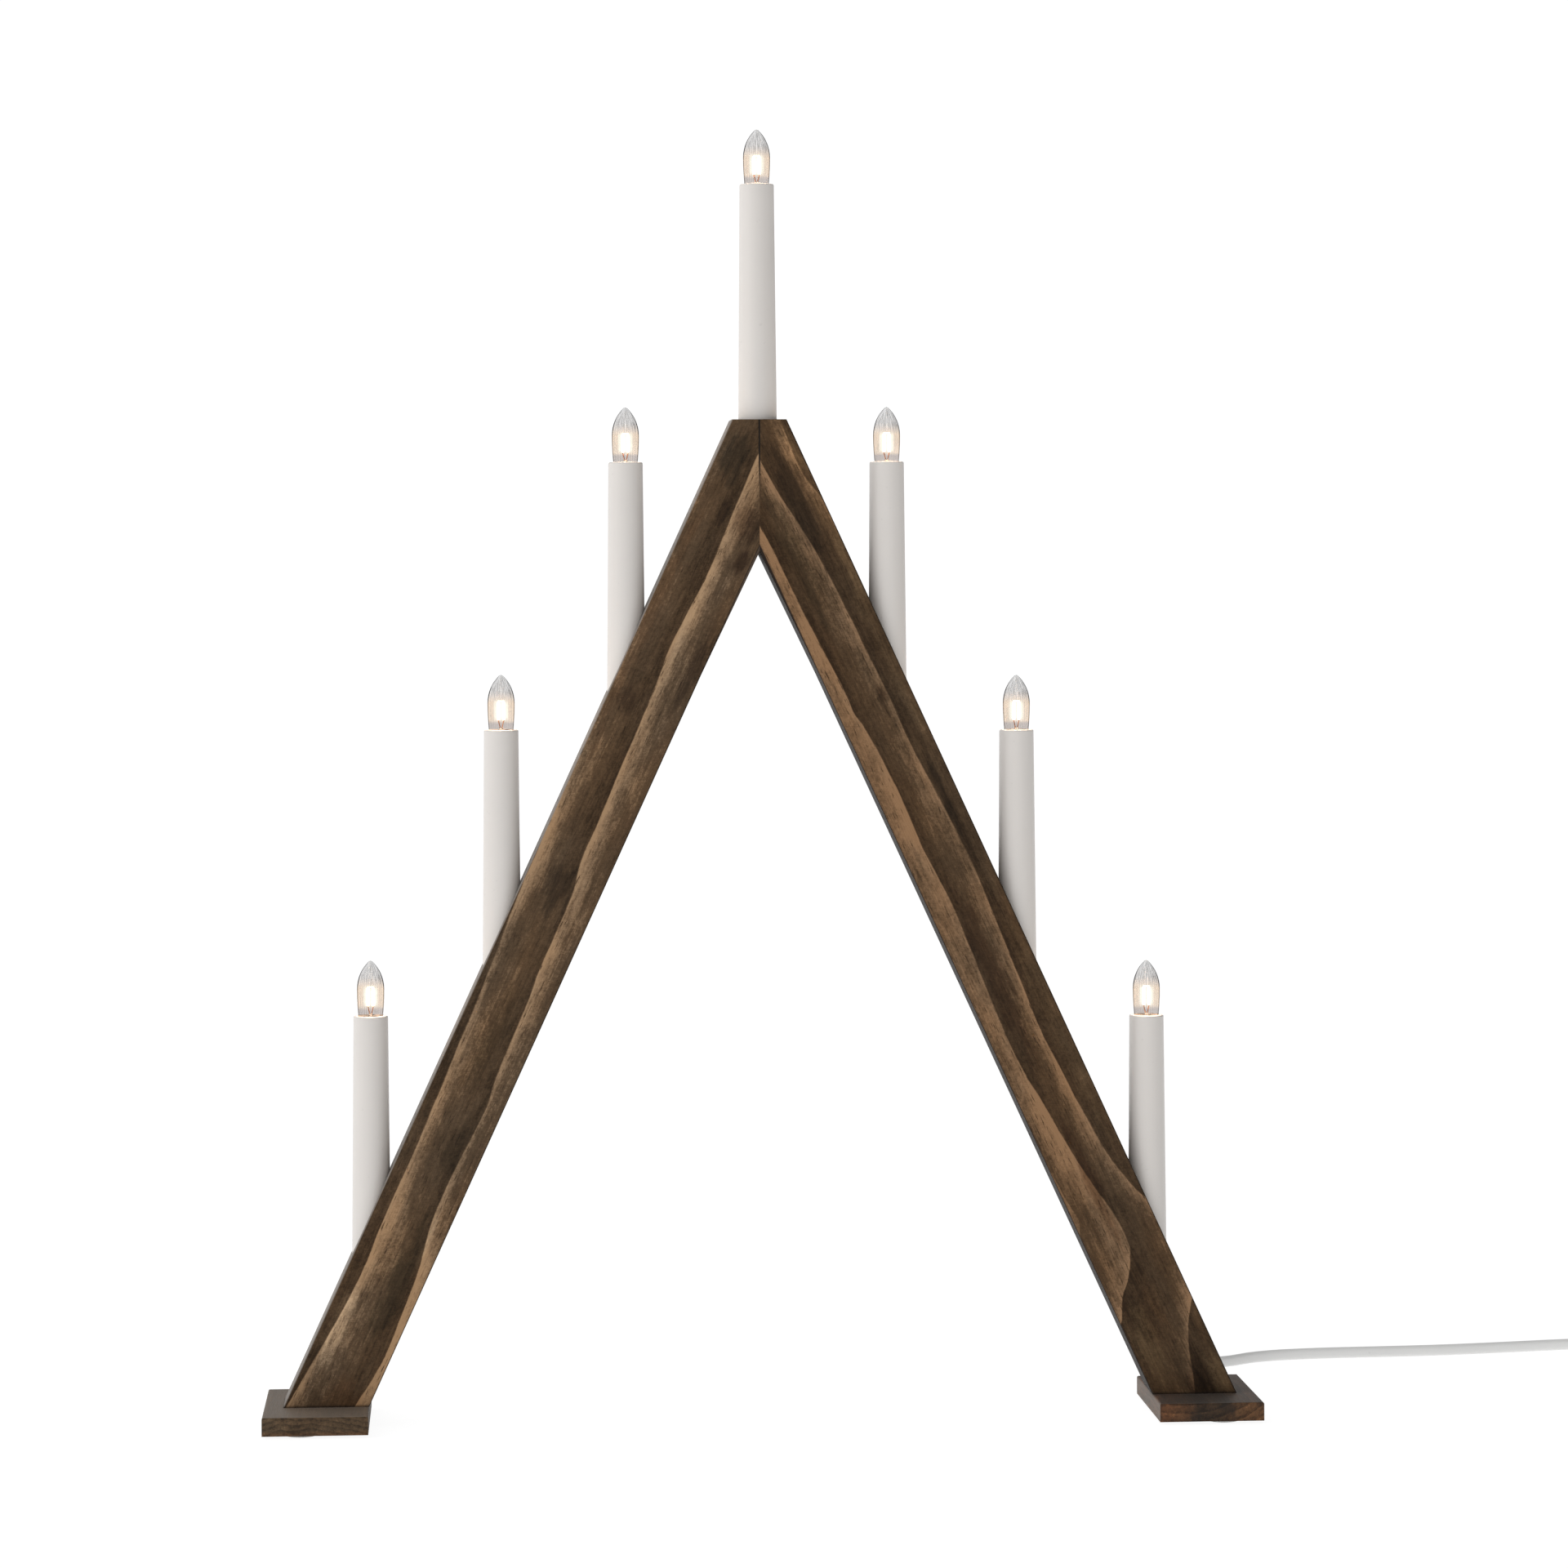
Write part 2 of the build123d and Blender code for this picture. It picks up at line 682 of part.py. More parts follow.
def mains_cord():
    radii = bend_radii(CORD_ROUTE)
    path = FilletPolyline(*CORD_ROUTE, radius=radii)
    tube = tube_along(path)
    section = math.pi * CORD_RADIUS**2
    print("cord bend radii", [round(radius, 1) for radius in radii])
    print("cord length", round(path.length, 1), "volume share", round(tube.volume / (section * path.length), 4))
    return tube


def coil_half_turns():
    """The radius and the start and end height of each half turn, in order."""
    low = CORD_RADIUS
    high = low + COIL_PITCH
    step = COIL_PITCH / 2
    turns = [(COIL_OUTER_RADIUS - step * index, low, low) for index in range(COIL_HALF_TURNS)]
    turns.append((COIL_OUTER_RADIUS - step * COIL_HALF_TURNS, low, high))
    inner = COIL_OUTER_RADIUS - step * (COIL_HALF_TURNS - 1)
    turns += [(inner + step * index, high, high) for index in range(COIL_HALF_TURNS - 1)]
    turns.append(((COIL_BACK_Y - PLUG_ROW_Y) / 2, high, PLUG_THICKNESS / 2))
    return turns


def coil_path():
    """The coil from its straight start to its straight end at the plug."""
    start = Vector(COIL_START_X, COIL_BACK_Y, CORD_RADIUS)
    here = Vector(COIL_X, COIL_BACK_Y, CORD_RADIUS)
    edges = [Line(start, here)]
    heading = 1
    for radius, low, high in coil_half_turns():
        bulge = math.sqrt(radius**2 + (high - low) ** 2 / 4)
        middle = Vector(COIL_X + heading * bulge, here.Y - heading * radius, (low + high) / 2)
        end = Vector(COIL_X, here.Y - heading * radius * 2, high)
        first = TangentArc(here, middle, tangent=(heading, 0, 0))
        second = TangentArc(middle, end, tangent=first % 1)
        edges += [first, second]
        here = end
        heading = -heading
    edges.append(Line(here, here + Vector(heading * CORD_DIAMETER, 0, 0)))
    return Wire([line.edge() for line in edges])


def least_gap(path):
    """The smallest gap between the coil's surface and itself, measured on points."""
    count = int(path.length / (CORD_RADIUS / 2))
    points = [path @ (index / count) for index in range(count + 1)]
    apart = int(CORD_DIAMETER * math.pi / (path.length / count))
    nearest = min(
        (points[i] - points[j]).length
        for i in range(len(points))
        for j in range(i + apart, len(points))
    )
    return nearest - CORD_DIAMETER


def cord_coil():
    path = coil_path()
    print("coil length", round(path.length, 1), "least gap", round(least_gap(path), 2))
    return tube_along(path)


PLUG_START_X = COIL_X - CORD_DIAMETER
PLUG_BACK_X = PLUG_START_X - PLUG_RELIEF_LENGTH
PLUG_FACE_X = PLUG_BACK_X - PLUG_BODY_LENGTH
PLUG_MIDDLE_Z = PLUG_THICKNESS / 2


def plug_section(distance, width, thickness):
    """The plug's six-sided section, at a distance in front of its pin face."""
    cut = thickness / 2
    points = [
        (-width / 2, 0),
        (-width / 2 + cut, -thickness / 2),
        (width / 2 - cut, -thickness / 2),
        (width / 2, 0),
        (width / 2 - cut, thickness / 2),
        (-width / 2 + cut, thickness / 2),
    ]
    return Pos(0, 0, distance) * make_face(Polyline(*points, close=True))


def plug_body():
    """The flat two-pin plug with its ribbed bend relief, lying on the table."""
    straight = PLUG_BODY_LENGTH * PLUG_STRAIGHT_SHARE
    front = plug_section(straight, PLUG_WIDTH, PLUG_THICKNESS)
    back = plug_section(PLUG_BODY_LENGTH, PLUG_BACK_WIDTH, PLUG_BACK_THICKNESS)
    grip = loft([front, back])
    face = extrude(plug_section(0, PLUG_WIDTH, PLUG_THICKNESS), amount=straight)
    relief = ringed_cone(
        PLUG_RELIEF_RADIUS,
        PLUG_RELIEF_END_RADIUS,
        PLUG_RELIEF_LENGTH,
        PLUG_RING_COUNT,
        PLUG_RING_WIDTH,
        PLUG_RING_DEPTH,
    )
    body = face + grip + Pos(0, 0, PLUG_BODY_LENGTH) * relief
    return plug_plane() * body


def plug_plane():
    """The pin face: its X lies along the pin row, its Z points back along the cord."""
    return Plane((PLUG_FACE_X, PLUG_ROW_Y, PLUG_MIDDLE_Z), x_dir=(0, 1, 0), z_dir=(1, 0, 0))


def plug_pins():
    pins = []
    for sign in (-1, 1):
        pin = upright(PIN_RADIUS, -PIN_LENGTH, 0, sign * PIN_SPACING / 2)
        end = pin.edges().group_by(Axis.Z)[0]
        pins.append(plug_plane() * fillet(end, PIN_RADIUS / 2))
    return pins


def main():
    os.makedirs("parts", exist_ok=True)
    save("left_leg", mirror(right_leg("left", LEFT_COVER_END), about=Plane.YZ))
    save("right_leg", right_leg("right", FOOT_TOP))
    save("apex_dowels", *apex_dowels())
    save("left_foot", mirror(right_foot(), about=Plane.YZ))
    save("right_foot", right_foot())
    save("foot_screws", *foot_screws())
    save("foot_pads", *foot_pads())
    save("left_back_cover", mirror(right_cover(LEFT_COVER_END), about=Plane.YZ))
    save("right_back_cover", right_cover(FOOT_TOP) - gland_hole())

    bushes, shells, contacts = [], [], []
    tube, bush, holder = candle_tube(), tube_bush(), lampholder()
    shell, contact = socket_shell(), socket_contact()
    envelope, cap, stem, filaments = bulb_envelope(), bulb_cap(), bulb_stem(), bulb_filaments()
    for name, place in PLACES.items():
        seat = Pos(*place)
        rim = seat * Pos(0, 0, TUBE_LENGTH)
        save(f"candle_tube_{name}", seat * tube)
        save(f"lampholder_{name}", rim * holder)
        save(f"bulb_envelope_{name}", rim * envelope)
        save(f"bulb_cap_{name}", rim * cap)
        save(f"bulb_stem_{name}", rim * stem)
        save(f"bulb_filaments_{name}", rim * filaments)
        bushes.append(seat * bush)
        shells.append(rim * shell)
        contacts.append(rim * contact)
        print("candle", name, [round(value, 2) for value in place])
    save("tube_bushes", *bushes)
    save("socket_shells", *shells)
    save("socket_contacts", *contacts)

    save("wire_harness", *harness())
    save("cord_gland", cord_gland())
    save("mains_cord", mains_cord())
    save("cord_coil", cord_coil())
    save("plug_body", plug_body())
    save("plug_pins", *plug_pins())
    print("gland end", round(GLAND_X, 2), round(GLAND_END, 2), "pin face x", round(PLUG_FACE_X, 2))


main()
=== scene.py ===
# %% [markdown]
# A candle arch is two sloping strips of stained pine that meet under the middle
# candle, with seven white sleeves standing in them and a small clear bulb on each.
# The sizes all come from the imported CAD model, so the lesson starts by loading it.
# Its nodes keep their meshes, and get only new materials, except where a finer
# piece takes a node's place.

# %% Load the CAD model
import bpy
import math
from mathutils import Euler, Matrix, Vector


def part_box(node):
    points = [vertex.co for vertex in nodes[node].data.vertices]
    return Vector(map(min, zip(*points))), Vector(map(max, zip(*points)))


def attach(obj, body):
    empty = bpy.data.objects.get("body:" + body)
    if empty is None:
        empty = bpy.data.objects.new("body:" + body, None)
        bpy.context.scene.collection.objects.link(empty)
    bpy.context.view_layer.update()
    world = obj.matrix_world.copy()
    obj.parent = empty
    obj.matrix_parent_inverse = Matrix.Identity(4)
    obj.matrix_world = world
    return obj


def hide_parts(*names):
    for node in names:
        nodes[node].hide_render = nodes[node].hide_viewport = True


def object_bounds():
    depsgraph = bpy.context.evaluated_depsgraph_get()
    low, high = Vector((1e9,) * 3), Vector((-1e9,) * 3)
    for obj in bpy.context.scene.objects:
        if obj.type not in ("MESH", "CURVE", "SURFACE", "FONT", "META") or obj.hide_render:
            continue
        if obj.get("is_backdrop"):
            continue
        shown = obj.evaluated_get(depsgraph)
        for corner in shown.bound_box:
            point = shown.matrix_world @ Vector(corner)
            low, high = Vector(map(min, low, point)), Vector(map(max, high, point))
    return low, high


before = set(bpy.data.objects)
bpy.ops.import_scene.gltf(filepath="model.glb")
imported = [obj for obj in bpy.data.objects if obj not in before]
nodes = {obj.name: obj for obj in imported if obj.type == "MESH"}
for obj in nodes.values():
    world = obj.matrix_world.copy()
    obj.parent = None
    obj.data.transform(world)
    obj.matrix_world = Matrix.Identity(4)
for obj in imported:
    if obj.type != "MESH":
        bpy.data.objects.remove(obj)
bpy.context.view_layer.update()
CANDLES = ["top"] + [f"{side}_{level}" for side in ("left", "right") for level in ("high", "middle", "low")]
MM = 0.001
rims = {}
for name in CANDLES:
    low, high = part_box(f"candle_tube_{name}")
    rims[name] = ((low[0] + high[0]) / 2, (low[1] + high[1]) / 2, high[2])
print("rims in mm", {name: [round(v / MM, 1) for v in place] for name, place in rims.items()})

# %% [markdown]
# The photograph was taken level, from a little left of the arch's middle and from
# far off with a long lens, so that the candles stay parallel. A small vertical
# shift brings the arch into the frame, as a shift lens does, and leaves the
# uprights upright.

# %% Camera


def into_scene(thing):
    """Links an object to the scene."""
    bpy.context.scene.collection.objects.link(thing)


camera_data = bpy.data.cameras.new("long_lens")
camera_data.sensor_width = 36
camera_data.lens = 107.62
camera_data.shift_y = -0.1387
camera_data.clip_end = 100
camera = bpy.data.objects.new("camera", camera_data)
into_scene(camera)
camera.location = (-0.1425, -2.3001, 0.418)
camera.rotation_euler = Euler((math.radians(90), 0.0039, -0.0674))
bpy.context.scene.camera = camera
print("lens", round(camera_data.lens, 2), "mm, at", [round(v, 2) for v in camera.location])

# %% [markdown]
# The backdrop of a catalogue picture is plain white. A large matt floor does that
# here, under a sky that gives most of its light from the left, so that the sleeves
# are brighter on their left than on their right, as in the photograph. The camera
# sees that sky as even white. The floor glows a little, and the camera sees it mostly
# as plain white too, so that only the faintest shadow is left on it.

# %% Floor and light
bpy.ops.mesh.primitive_circle_add(vertices=96, radius=30, fill_type="TRIFAN", location=(0, 0, 0))
floor = bpy.context.object
floor.name = "floor"
floor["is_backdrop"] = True
floor_paint = bpy.data.materials.new("floor_paint")
floor_paint.use_nodes = True
floor_tree = floor_paint.node_tree
floor_shader = floor_tree.nodes["Principled BSDF"]
floor.data.materials.append(floor_paint)


def feed(node, inputs):
    """Gives each input a value, or a link from another node's output."""
    for key, value in inputs.items():
        if isinstance(value, bpy.types.NodeSocket):
            node.id_data.links.new(value, node.inputs[key])
        else:
            node.inputs[key].default_value = value


def put(tree, kind, inputs=None, **settings):
    """Adds a shader node, with its inputs and settings."""
    made = tree.nodes.new("ShaderNode" + kind)
    for key, value in settings.items():
        setattr(made, key, value)
    feed(made, inputs or {})
    return made


def calc(tree, operation, *values):
    """The result of one Math node."""
    return put(tree, "Math", dict(enumerate(values)), operation=operation).outputs[0]


def spread(tree, value, start, end, low=0.0, high=1.0, **settings):
    """From one level to another, evenly, while a value goes from start to end."""
    return put(tree, "MapRange", {0: value, 1: start, 2: end, 3: low, 4: high}, **settings).outputs[0]


def step(tree, value, start, end, low=0.0, high=1.0):
    """Like spread, but with a soft start and end."""
    return spread(tree, value, start, end, low, high, interpolation_type="SMOOTHSTEP")


def mixed(tree, share, first, second, blend="MIX"):
    """Two colours mixed by a share."""
    return put(tree, "Mix", {0: share, 6: first, 7: second}, data_type="RGBA", blend_type=blend).outputs[2]


def times(tree, first, second):
    """One colour multiplied by another."""
    return mixed(tree, 1.0, first, second, "MULTIPLY")


def split(tree, vector):
    """A vector's X, Y and Z."""
    return put(tree, "SeparateXYZ", {0: vector}).outputs


feed(floor_shader, {
    "Base Color": (0.93, 0.93, 0.93, 1), "Roughness": 0.9, "Specular IOR Level": 0.1,
    "Emission Color": (1, 1, 1, 1), "Emission Strength": 0.42,
})
direct = put(floor_tree, "LightPath").outputs["Is Camera Ray"]
plain_white = put(floor_tree, "Emission", {"Color": (1, 1, 1, 1), "Strength": 1.05}).outputs[0]
share = calc(floor_tree, "MULTIPLY", direct, 0.8)
shown = put(floor_tree, "MixShader", {0: share, 1: floor_shader.outputs[0], 2: plain_white}).outputs[0]
feed(floor_tree.nodes["Material Output"], {"Surface": shown})

sky = bpy.data.worlds.new("white_sky")
bpy.context.scene.world = sky
sky.use_nodes = True
sky_tree = sky.node_tree
direction = put(sky_tree, "TexCoord").outputs["Generated"]
brightness = spread(sky_tree, split(sky_tree, direction)["X"], -1.0, 1.0, 1.15, 0.1)
seen = put(sky_tree, "LightPath").outputs["Is Camera Ray"]
brightness = put(sky_tree, "Mix", {0: seen, 2: brightness, 3: 1.05}, data_type="FLOAT").outputs[0]
feed(sky_tree.nodes["Background"], {"Color": (1, 1, 1, 1), "Strength": brightness})
bpy.context.scene.view_settings.view_transform = "Standard"

softbox = bpy.data.lights.new("key_softbox", "AREA")
softbox.shape = "SQUARE"
softbox.size = 0.9
softbox.energy = 3
holder = bpy.data.objects.new("key_softbox", softbox)
into_scene(holder)
holder.location = (-2.2, -1.1, 1.1)
aim = Vector((0, 0, 0.3)) - holder.location
holder.rotation_euler = aim.to_track_quat("-Z", "Y").to_euler()
print("floor", [round(v, 1) for v in floor.dimensions], "m, sky and one softbox")

# %% [markdown]
# The lead is a flat twin cord, 5.8 mm wide and 3.6 mm thick. It leaves the gland
# lying flat, turns on its edge on its way to the table, and on the table it stays
# on edge, because a flat cord only bends easily across its thickness. The cord's
# line is a smooth spline through a few points, and a small oval drawn once is
# carried along it. Each point's tilt turns the oval, and its radius of a thousandth
# brings the oval, which is drawn in millimetres, to metres. The photograph shows only
# the first stretch: the rest is wound up beside the arch, with the plug in front.

# %% Cord
GLAND = (206.44, 35.6, 24.0)
CORD_WIDTH = 5.8
CORD_THICKNESS = 3.6
ON_EDGE = math.radians(90)
ROUTE = [
    (*GLAND, 0),
    (206.44, 58.0, 24.0, 0),
    (213.0, 80.0, 17.0, 0.3),
    (228.0, 99.0, 6.8, 0.7),
    (247.0, 117.5, 2.9, 1),
    (269.0, 136.5, 2.9, 1),
    (301.0, 142.5, 2.9, 1),
    (333.0, 144.0, 2.9, 1),
    (368.0, 146.0, 2.9, 1),
    (404.0, 152.0, 2.9, 1),
    (438.0, 158.5, 2.9, 1),
    (468.0, 160.6, 2.9, 1),
    (494.2, 160.6, 2.9, 1),
]
COIL_X = 500.0
COIL_BACK_Y = 160.6
TURN_STEP = 3.15
LOW, HIGH, PLUG_Z = 2.9, 9.2, 6.85
HALF_TURNS = [(41.0 - TURN_STEP * i, LOW, LOW) for i in range(6)]
HALF_TURNS += [(22.1, LOW, HIGH)]
HALF_TURNS += [(25.25 + TURN_STEP * i, HIGH, HIGH) for i in range(5)]
HALF_TURNS += [(52.0, HIGH, PLUG_Z)]
POINTS_PER_HALF_TURN = 8


def coil_points():
    """Points of the half turns, each a little outside its circle, because the spline runs inside them."""
    points = []
    y, side = COIL_BACK_Y, 1
    swell = 1 / math.cos(math.pi / POINTS_PER_HALF_TURN / 2)
    for radius, start, end in HALF_TURNS:
        for index in range(POINTS_PER_HALF_TURN):
            share = (index + 0.5) / POINTS_PER_HALF_TURN
            angle = math.pi * share
            points.append((
                COIL_X + side * radius * swell * math.sin(angle),
                y - side * radius * (1 - swell * math.cos(angle)),
                start + (end - start) * share,
                1,
            ))
        y -= side * radius * 2
        side = -side
    return points, y


turns, plug_y = coil_points()
points = ROUTE + turns + [(COIL_X, plug_y, PLUG_Z, 1), (COIL_X - CORD_WIDTH, plug_y, PLUG_Z, 1)]


def oval(width, thickness):
    """The cord's section in millimetres: two half rounds joined by flats, as a closed curve."""
    data = bpy.data.curves.new("cord_section", "CURVE")
    spline = data.splines.new("POLY")
    outline = []
    for side in (1, -1):
        for corner in range(9):
            angle = math.radians(-90 + 22.5 * corner) * side
            x = side * (width - thickness) / 2 + side * math.cos(angle) * thickness / 2
            outline.append((x, math.sin(angle) * thickness / 2, 0, 1))
    spline.points.add(len(outline) - 1)
    for point, place in zip(spline.points, outline):
        point.co = place
    spline.use_cyclic_u = True
    section = bpy.data.objects.new("cord_section", data)
    into_scene(section)
    section.hide_render = True
    section.hide_viewport = True
    return section


lead_data = bpy.data.curves.new("mains_lead", "CURVE")
lead_data.dimensions = "3D"
lead_data.twist_mode = "Z_UP"
lead_data.resolution_u = 8
lead_line = lead_data.splines.new("NURBS")
lead_line.points.add(len(points) - 1)
for point, (x, y, z, edge) in zip(lead_line.points, points):
    point.co = (x * MM, y * MM, z * MM, 1)
    point.tilt = ON_EDGE * edge
    point.radius = MM
lead_line.order_u = 3
lead_line.use_endpoint_u = True
lead_data.bevel_mode = "OBJECT"
lead_data.bevel_object = oval(CORD_WIDTH, CORD_THICKNESS)
lead_data.use_fill_caps = True
mains_lead = bpy.data.objects.new("mains_lead", lead_data)
into_scene(mains_lead)
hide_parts("mains_cord", "cord_coil")
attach(mains_lead, "arch")
print("cord points", len(points), "plug row y", plug_y)

# %% [markdown]
# The cord ends in a flat two-pin plug, moulded in one with its ribbed bend relief.
# The CAD solid has its size but sharp edges, and a moulding has none, so a finer
# piece takes its place. It starts as a block whose four long edges are cut off. Its
# back is extruded and drawn in towards the cord, its two wide faces get a shallow
# recess for the fingers, and a Bevel modifier rounds what is left. GRIP and STRAIGHT
# are the CAD plug's own lengths in millimetres, and its back's width and height are
# followed closely. The cut corners, the recess and the rounding are chosen.

# %% Plug
low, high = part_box("plug_body")
GRIP, STRAIGHT, CORNER, BACK_WIDTH, BACK_HEIGHT = 33.0, 14.85, 0.97, 0.38, 0.73
RECESS_RIM, RECESS_DEPTH, EDGE_ROUND = 2.4, 0.5, 0.9
GRIP_END, STRAIGHT_END = low[0] + GRIP * MM, low[0] + STRAIGHT * MM
plug_middle = ((low[0] + STRAIGHT_END) / 2, (low[1] + high[1]) / 2, (low[2] + high[2]) / 2)
plug_size = (STRAIGHT_END - low[0], high[1] - low[1], high[2] - low[2])
bpy.ops.mesh.primitive_cube_add(size=1, location=plug_middle, scale=plug_size)
plug = bpy.context.object
plug.name = "two_pin_plug"
bpy.ops.object.transform_apply(location=True, scale=True)


def pick(piece, kind, test):
    """Selects the points, edges or faces that pass a test, and leaves the piece in edit mode."""
    bpy.ops.object.mode_set(mode="EDIT")
    bpy.ops.mesh.select_mode(type=kind)
    bpy.ops.mesh.select_all(action="DESELECT")
    bpy.ops.object.mode_set(mode="OBJECT")
    mesh = piece.data
    for part in {"VERT": mesh.vertices, "EDGE": mesh.edges, "FACE": mesh.polygons}[kind]:
        part.select = test(part)
    bpy.ops.object.mode_set(mode="EDIT")


def face_outwards():
    """Turns all faces of the piece in edit mode outwards, and leaves edit mode."""
    bpy.ops.mesh.select_all(action="SELECT")
    bpy.ops.mesh.normals_make_consistent(inside=False)
    bpy.ops.object.mode_set(mode="OBJECT")


def join(main, other):
    """Makes another piece part of the main one."""
    bpy.ops.object.select_all(action="DESELECT")
    other.select_set(True)
    main.select_set(True)
    bpy.context.view_layer.objects.active = main
    bpy.ops.object.join()


def runs_along(edge):
    """Tells whether an edge of the block runs the way the pins point."""
    first, second = (plug.data.vertices[index].co for index in edge.vertices)
    return abs(first.x - second.x) > MM


pick(plug, "EDGE", runs_along)
bpy.ops.mesh.bevel(offset=plug_size[2] / 2 * CORNER, segments=1)
pick(plug, "FACE", lambda face: face.normal.x > 0.9)
bpy.ops.mesh.extrude_region_move(TRANSFORM_OT_translate={"value": (GRIP_END - STRAIGHT_END, 0, 0)})
bpy.ops.transform.resize(value=(1, BACK_WIDTH, BACK_HEIGHT))
pick(plug, "FACE", lambda face: abs(face.normal.z) > 0.999)
bpy.ops.mesh.inset(thickness=RECESS_RIM * MM, depth=-RECESS_DEPTH * MM)
face_outwards()
rounding = plug.modifiers.new("rounding", "BEVEL")
rounding.width = EDGE_ROUND * MM
rounding.segments = 3
rounding.limit_method = "ANGLE"
rounding.angle_limit = math.radians(20)
bpy.ops.object.modifier_apply(modifier="rounding")
print("plug body", len(plug.data.polygons), "faces")

# %% [markdown]
# The bend relief lets the cord bend gently where it leaves the plug. It is a circle
# extruded in small steps, each a distance from the grip and a radius. The radius dips
# at each of four grooves, and between them it slowly gets smaller.

# %% Bend relief of the plug
RELIEF_RADIUS, RELIEF_LENGTH = 4.4, 22.0
GROOVES = (4.4, 8.8, 13.2, 17.6)
GROOVE_SECTION = ((-1.2, 0), (-0.8, 0.15), (-0.6, 0.7), (0.6, 0.7), (0.8, 0.15), (1.2, 0))
relief_line = [(-1.0, RELIEF_RADIUS), (0.6, RELIEF_RADIUS)]
for middle in GROOVES:
    around = RELIEF_RADIUS - middle / RELIEF_LENGTH
    relief_line += [(middle + shift, around - dip) for shift, dip in GROOVE_SECTION]
relief_line += [(21.4, 3.45), (RELIEF_LENGTH, 3.1)]
bpy.ops.mesh.primitive_circle_add(
    vertices=40,
    radius=RELIEF_RADIUS * MM,
    fill_type="NGON",
    location=(GRIP_END + relief_line[0][0] * MM, plug_middle[1], plug_middle[2]),
    rotation=(0, math.radians(90), 0),
)
relief = bpy.context.object
bpy.ops.object.transform_apply(location=True, rotation=True)
bpy.ops.object.mode_set(mode="EDIT")
bpy.ops.mesh.select_all(action="SELECT")
for (before, was), (distance, radius) in zip(relief_line, relief_line[1:]):
    bpy.ops.mesh.extrude_region_move(TRANSFORM_OT_translate={"value": ((distance - before) * MM, 0, 0)})
    bpy.ops.transform.resize(value=(1, radius / was, radius / was))
face_outwards()
join(plug, relief)
bpy.ops.object.shade_smooth_by_angle(angle=math.radians(38))
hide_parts("plug_body")
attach(plug, "arch")
print("plug", len(plug.data.polygons), "faces, size in mm", [round(v / MM, 2) for v in plug.dimensions])

# %% [markdown]
# The wood is pine with a dark brown water stain. Pine soaks up the stain in its soft
# spring wood and hardly at all in the hard rings, so each ring starts with a sharp
# pale edge that fades into the brown. The strips are sawn along the rings, which
# makes a few wide wavy bands. The group below draws them: it is told, for each place
# along a board, where two of the rings run, and the rest follow at the same spacing.
# Blotches, brushed cross strokes, fibres and short dark pores are laid over them.

# %% Stained pine, as a node group
FINISH = (("Color", "Color"), ("Roughness", "Float"), ("Height", "Float"))


def new_group(name, takes, gives):
    """A node group with inputs (name, kind, start value) and outputs (name, kind), and its end nodes."""
    group = bpy.data.node_groups.new(name, "ShaderNodeTree")
    for label, kind, *value in takes:
        socket = group.interface.new_socket(name=label, in_out="INPUT", socket_type="NodeSocket" + kind)
        if value:
            socket.default_value = value[0]
    for label, kind in gives:
        group.interface.new_socket(name=label, in_out="OUTPUT", socket_type="NodeSocket" + kind)
    given = group.nodes.new("NodeGroupInput").outputs if takes else None
    return group, given, group.nodes.new("NodeGroupOutput")


def noise(tree, place, scale, detail=2.0, roughness=0.5):
    """Soft noise, with so many patches to a metre."""
    inputs = {"Vector": place, "Scale": scale, "Detail": detail, "Roughness": roughness}
    return put(tree, "TexNoise", inputs).outputs[0]


pine, given, out = new_group("stained_pine", (
    ("Along", "Float", 0), ("Across", "Float", 0), ("Depth", "Float", 0),
    ("Ring start", "Float", 0), ("Ring pitch", "Float", 0.02),
    ("Outer fade", "Float", 0.006), ("Inner fade", "Float", 0.01),
    ("Slant", "Float", 0.55), ("Waviness", "Float", 0.0008), ("Seed", "Float", 0),
    ("Dark", "Color", (0.030, 0.017, 0.0075, 1)), ("Middle", "Color", (0.105, 0.064, 0.034, 1)),
    ("Pale", "Color", (0.34, 0.215, 0.12, 1)), ("Base tone", "Float", 0.31), ("Ring tone", "Float", 0.82),
), FINISH)


def streaks(tree, along, across, depth, seed, long, wide, detail=3.0, roughness=0.55):
    """Noise drawn out along the board: long and wide are how many patches there are to a metre."""
    place = put(tree, "CombineXYZ", {
        0: calc(tree, "MULTIPLY_ADD", along, long, seed),
        1: calc(tree, "MULTIPLY", across, wide),
        2: calc(tree, "MULTIPLY", depth, wide),
    }).outputs[0]
    return noise(tree, place, 1.0, detail, roughness)


where = (given["Along"], given["Across"], given["Depth"], given["Seed"])
wander = calc(pine, "SUBTRACT", streaks(pine, *where, 28, 60), 0.5)
shifted = calc(pine, "MULTIPLY_ADD", given["Depth"], given["Slant"], given["Across"])
shifted = calc(pine, "MULTIPLY_ADD", wander, calc(pine, "MULTIPLY", given["Waviness"], 2.0), shifted)
turn = calc(pine, "DIVIDE", calc(pine, "SUBTRACT", shifted, given["Ring start"]), given["Ring pitch"])
ring = calc(pine, "FLOOR", turn)
past = calc(pine, "MULTIPLY", calc(pine, "SUBTRACT", turn, ring), given["Ring pitch"])
inner = calc(pine, "GREATER_THAN", ring, 0.5)
fades = {0: inner, 2: given["Outer fade"], 3: given["Inner fade"]}
fade = put(pine, "Mix", fades, data_type="FLOAT").outputs[0]
pale = calc(pine, "POWER", 0.3679, calc(pine, "DIVIDE", past, fade))
pale = calc(pine, "MULTIPLY", pale, step(pine, past, 0.0, 0.0007))
strength = spread(pine, streaks(pine, *where, 12, 40), 0.35, 0.65, 0.45, 1.2)
pale = calc(pine, "MULTIPLY", pale, strength)
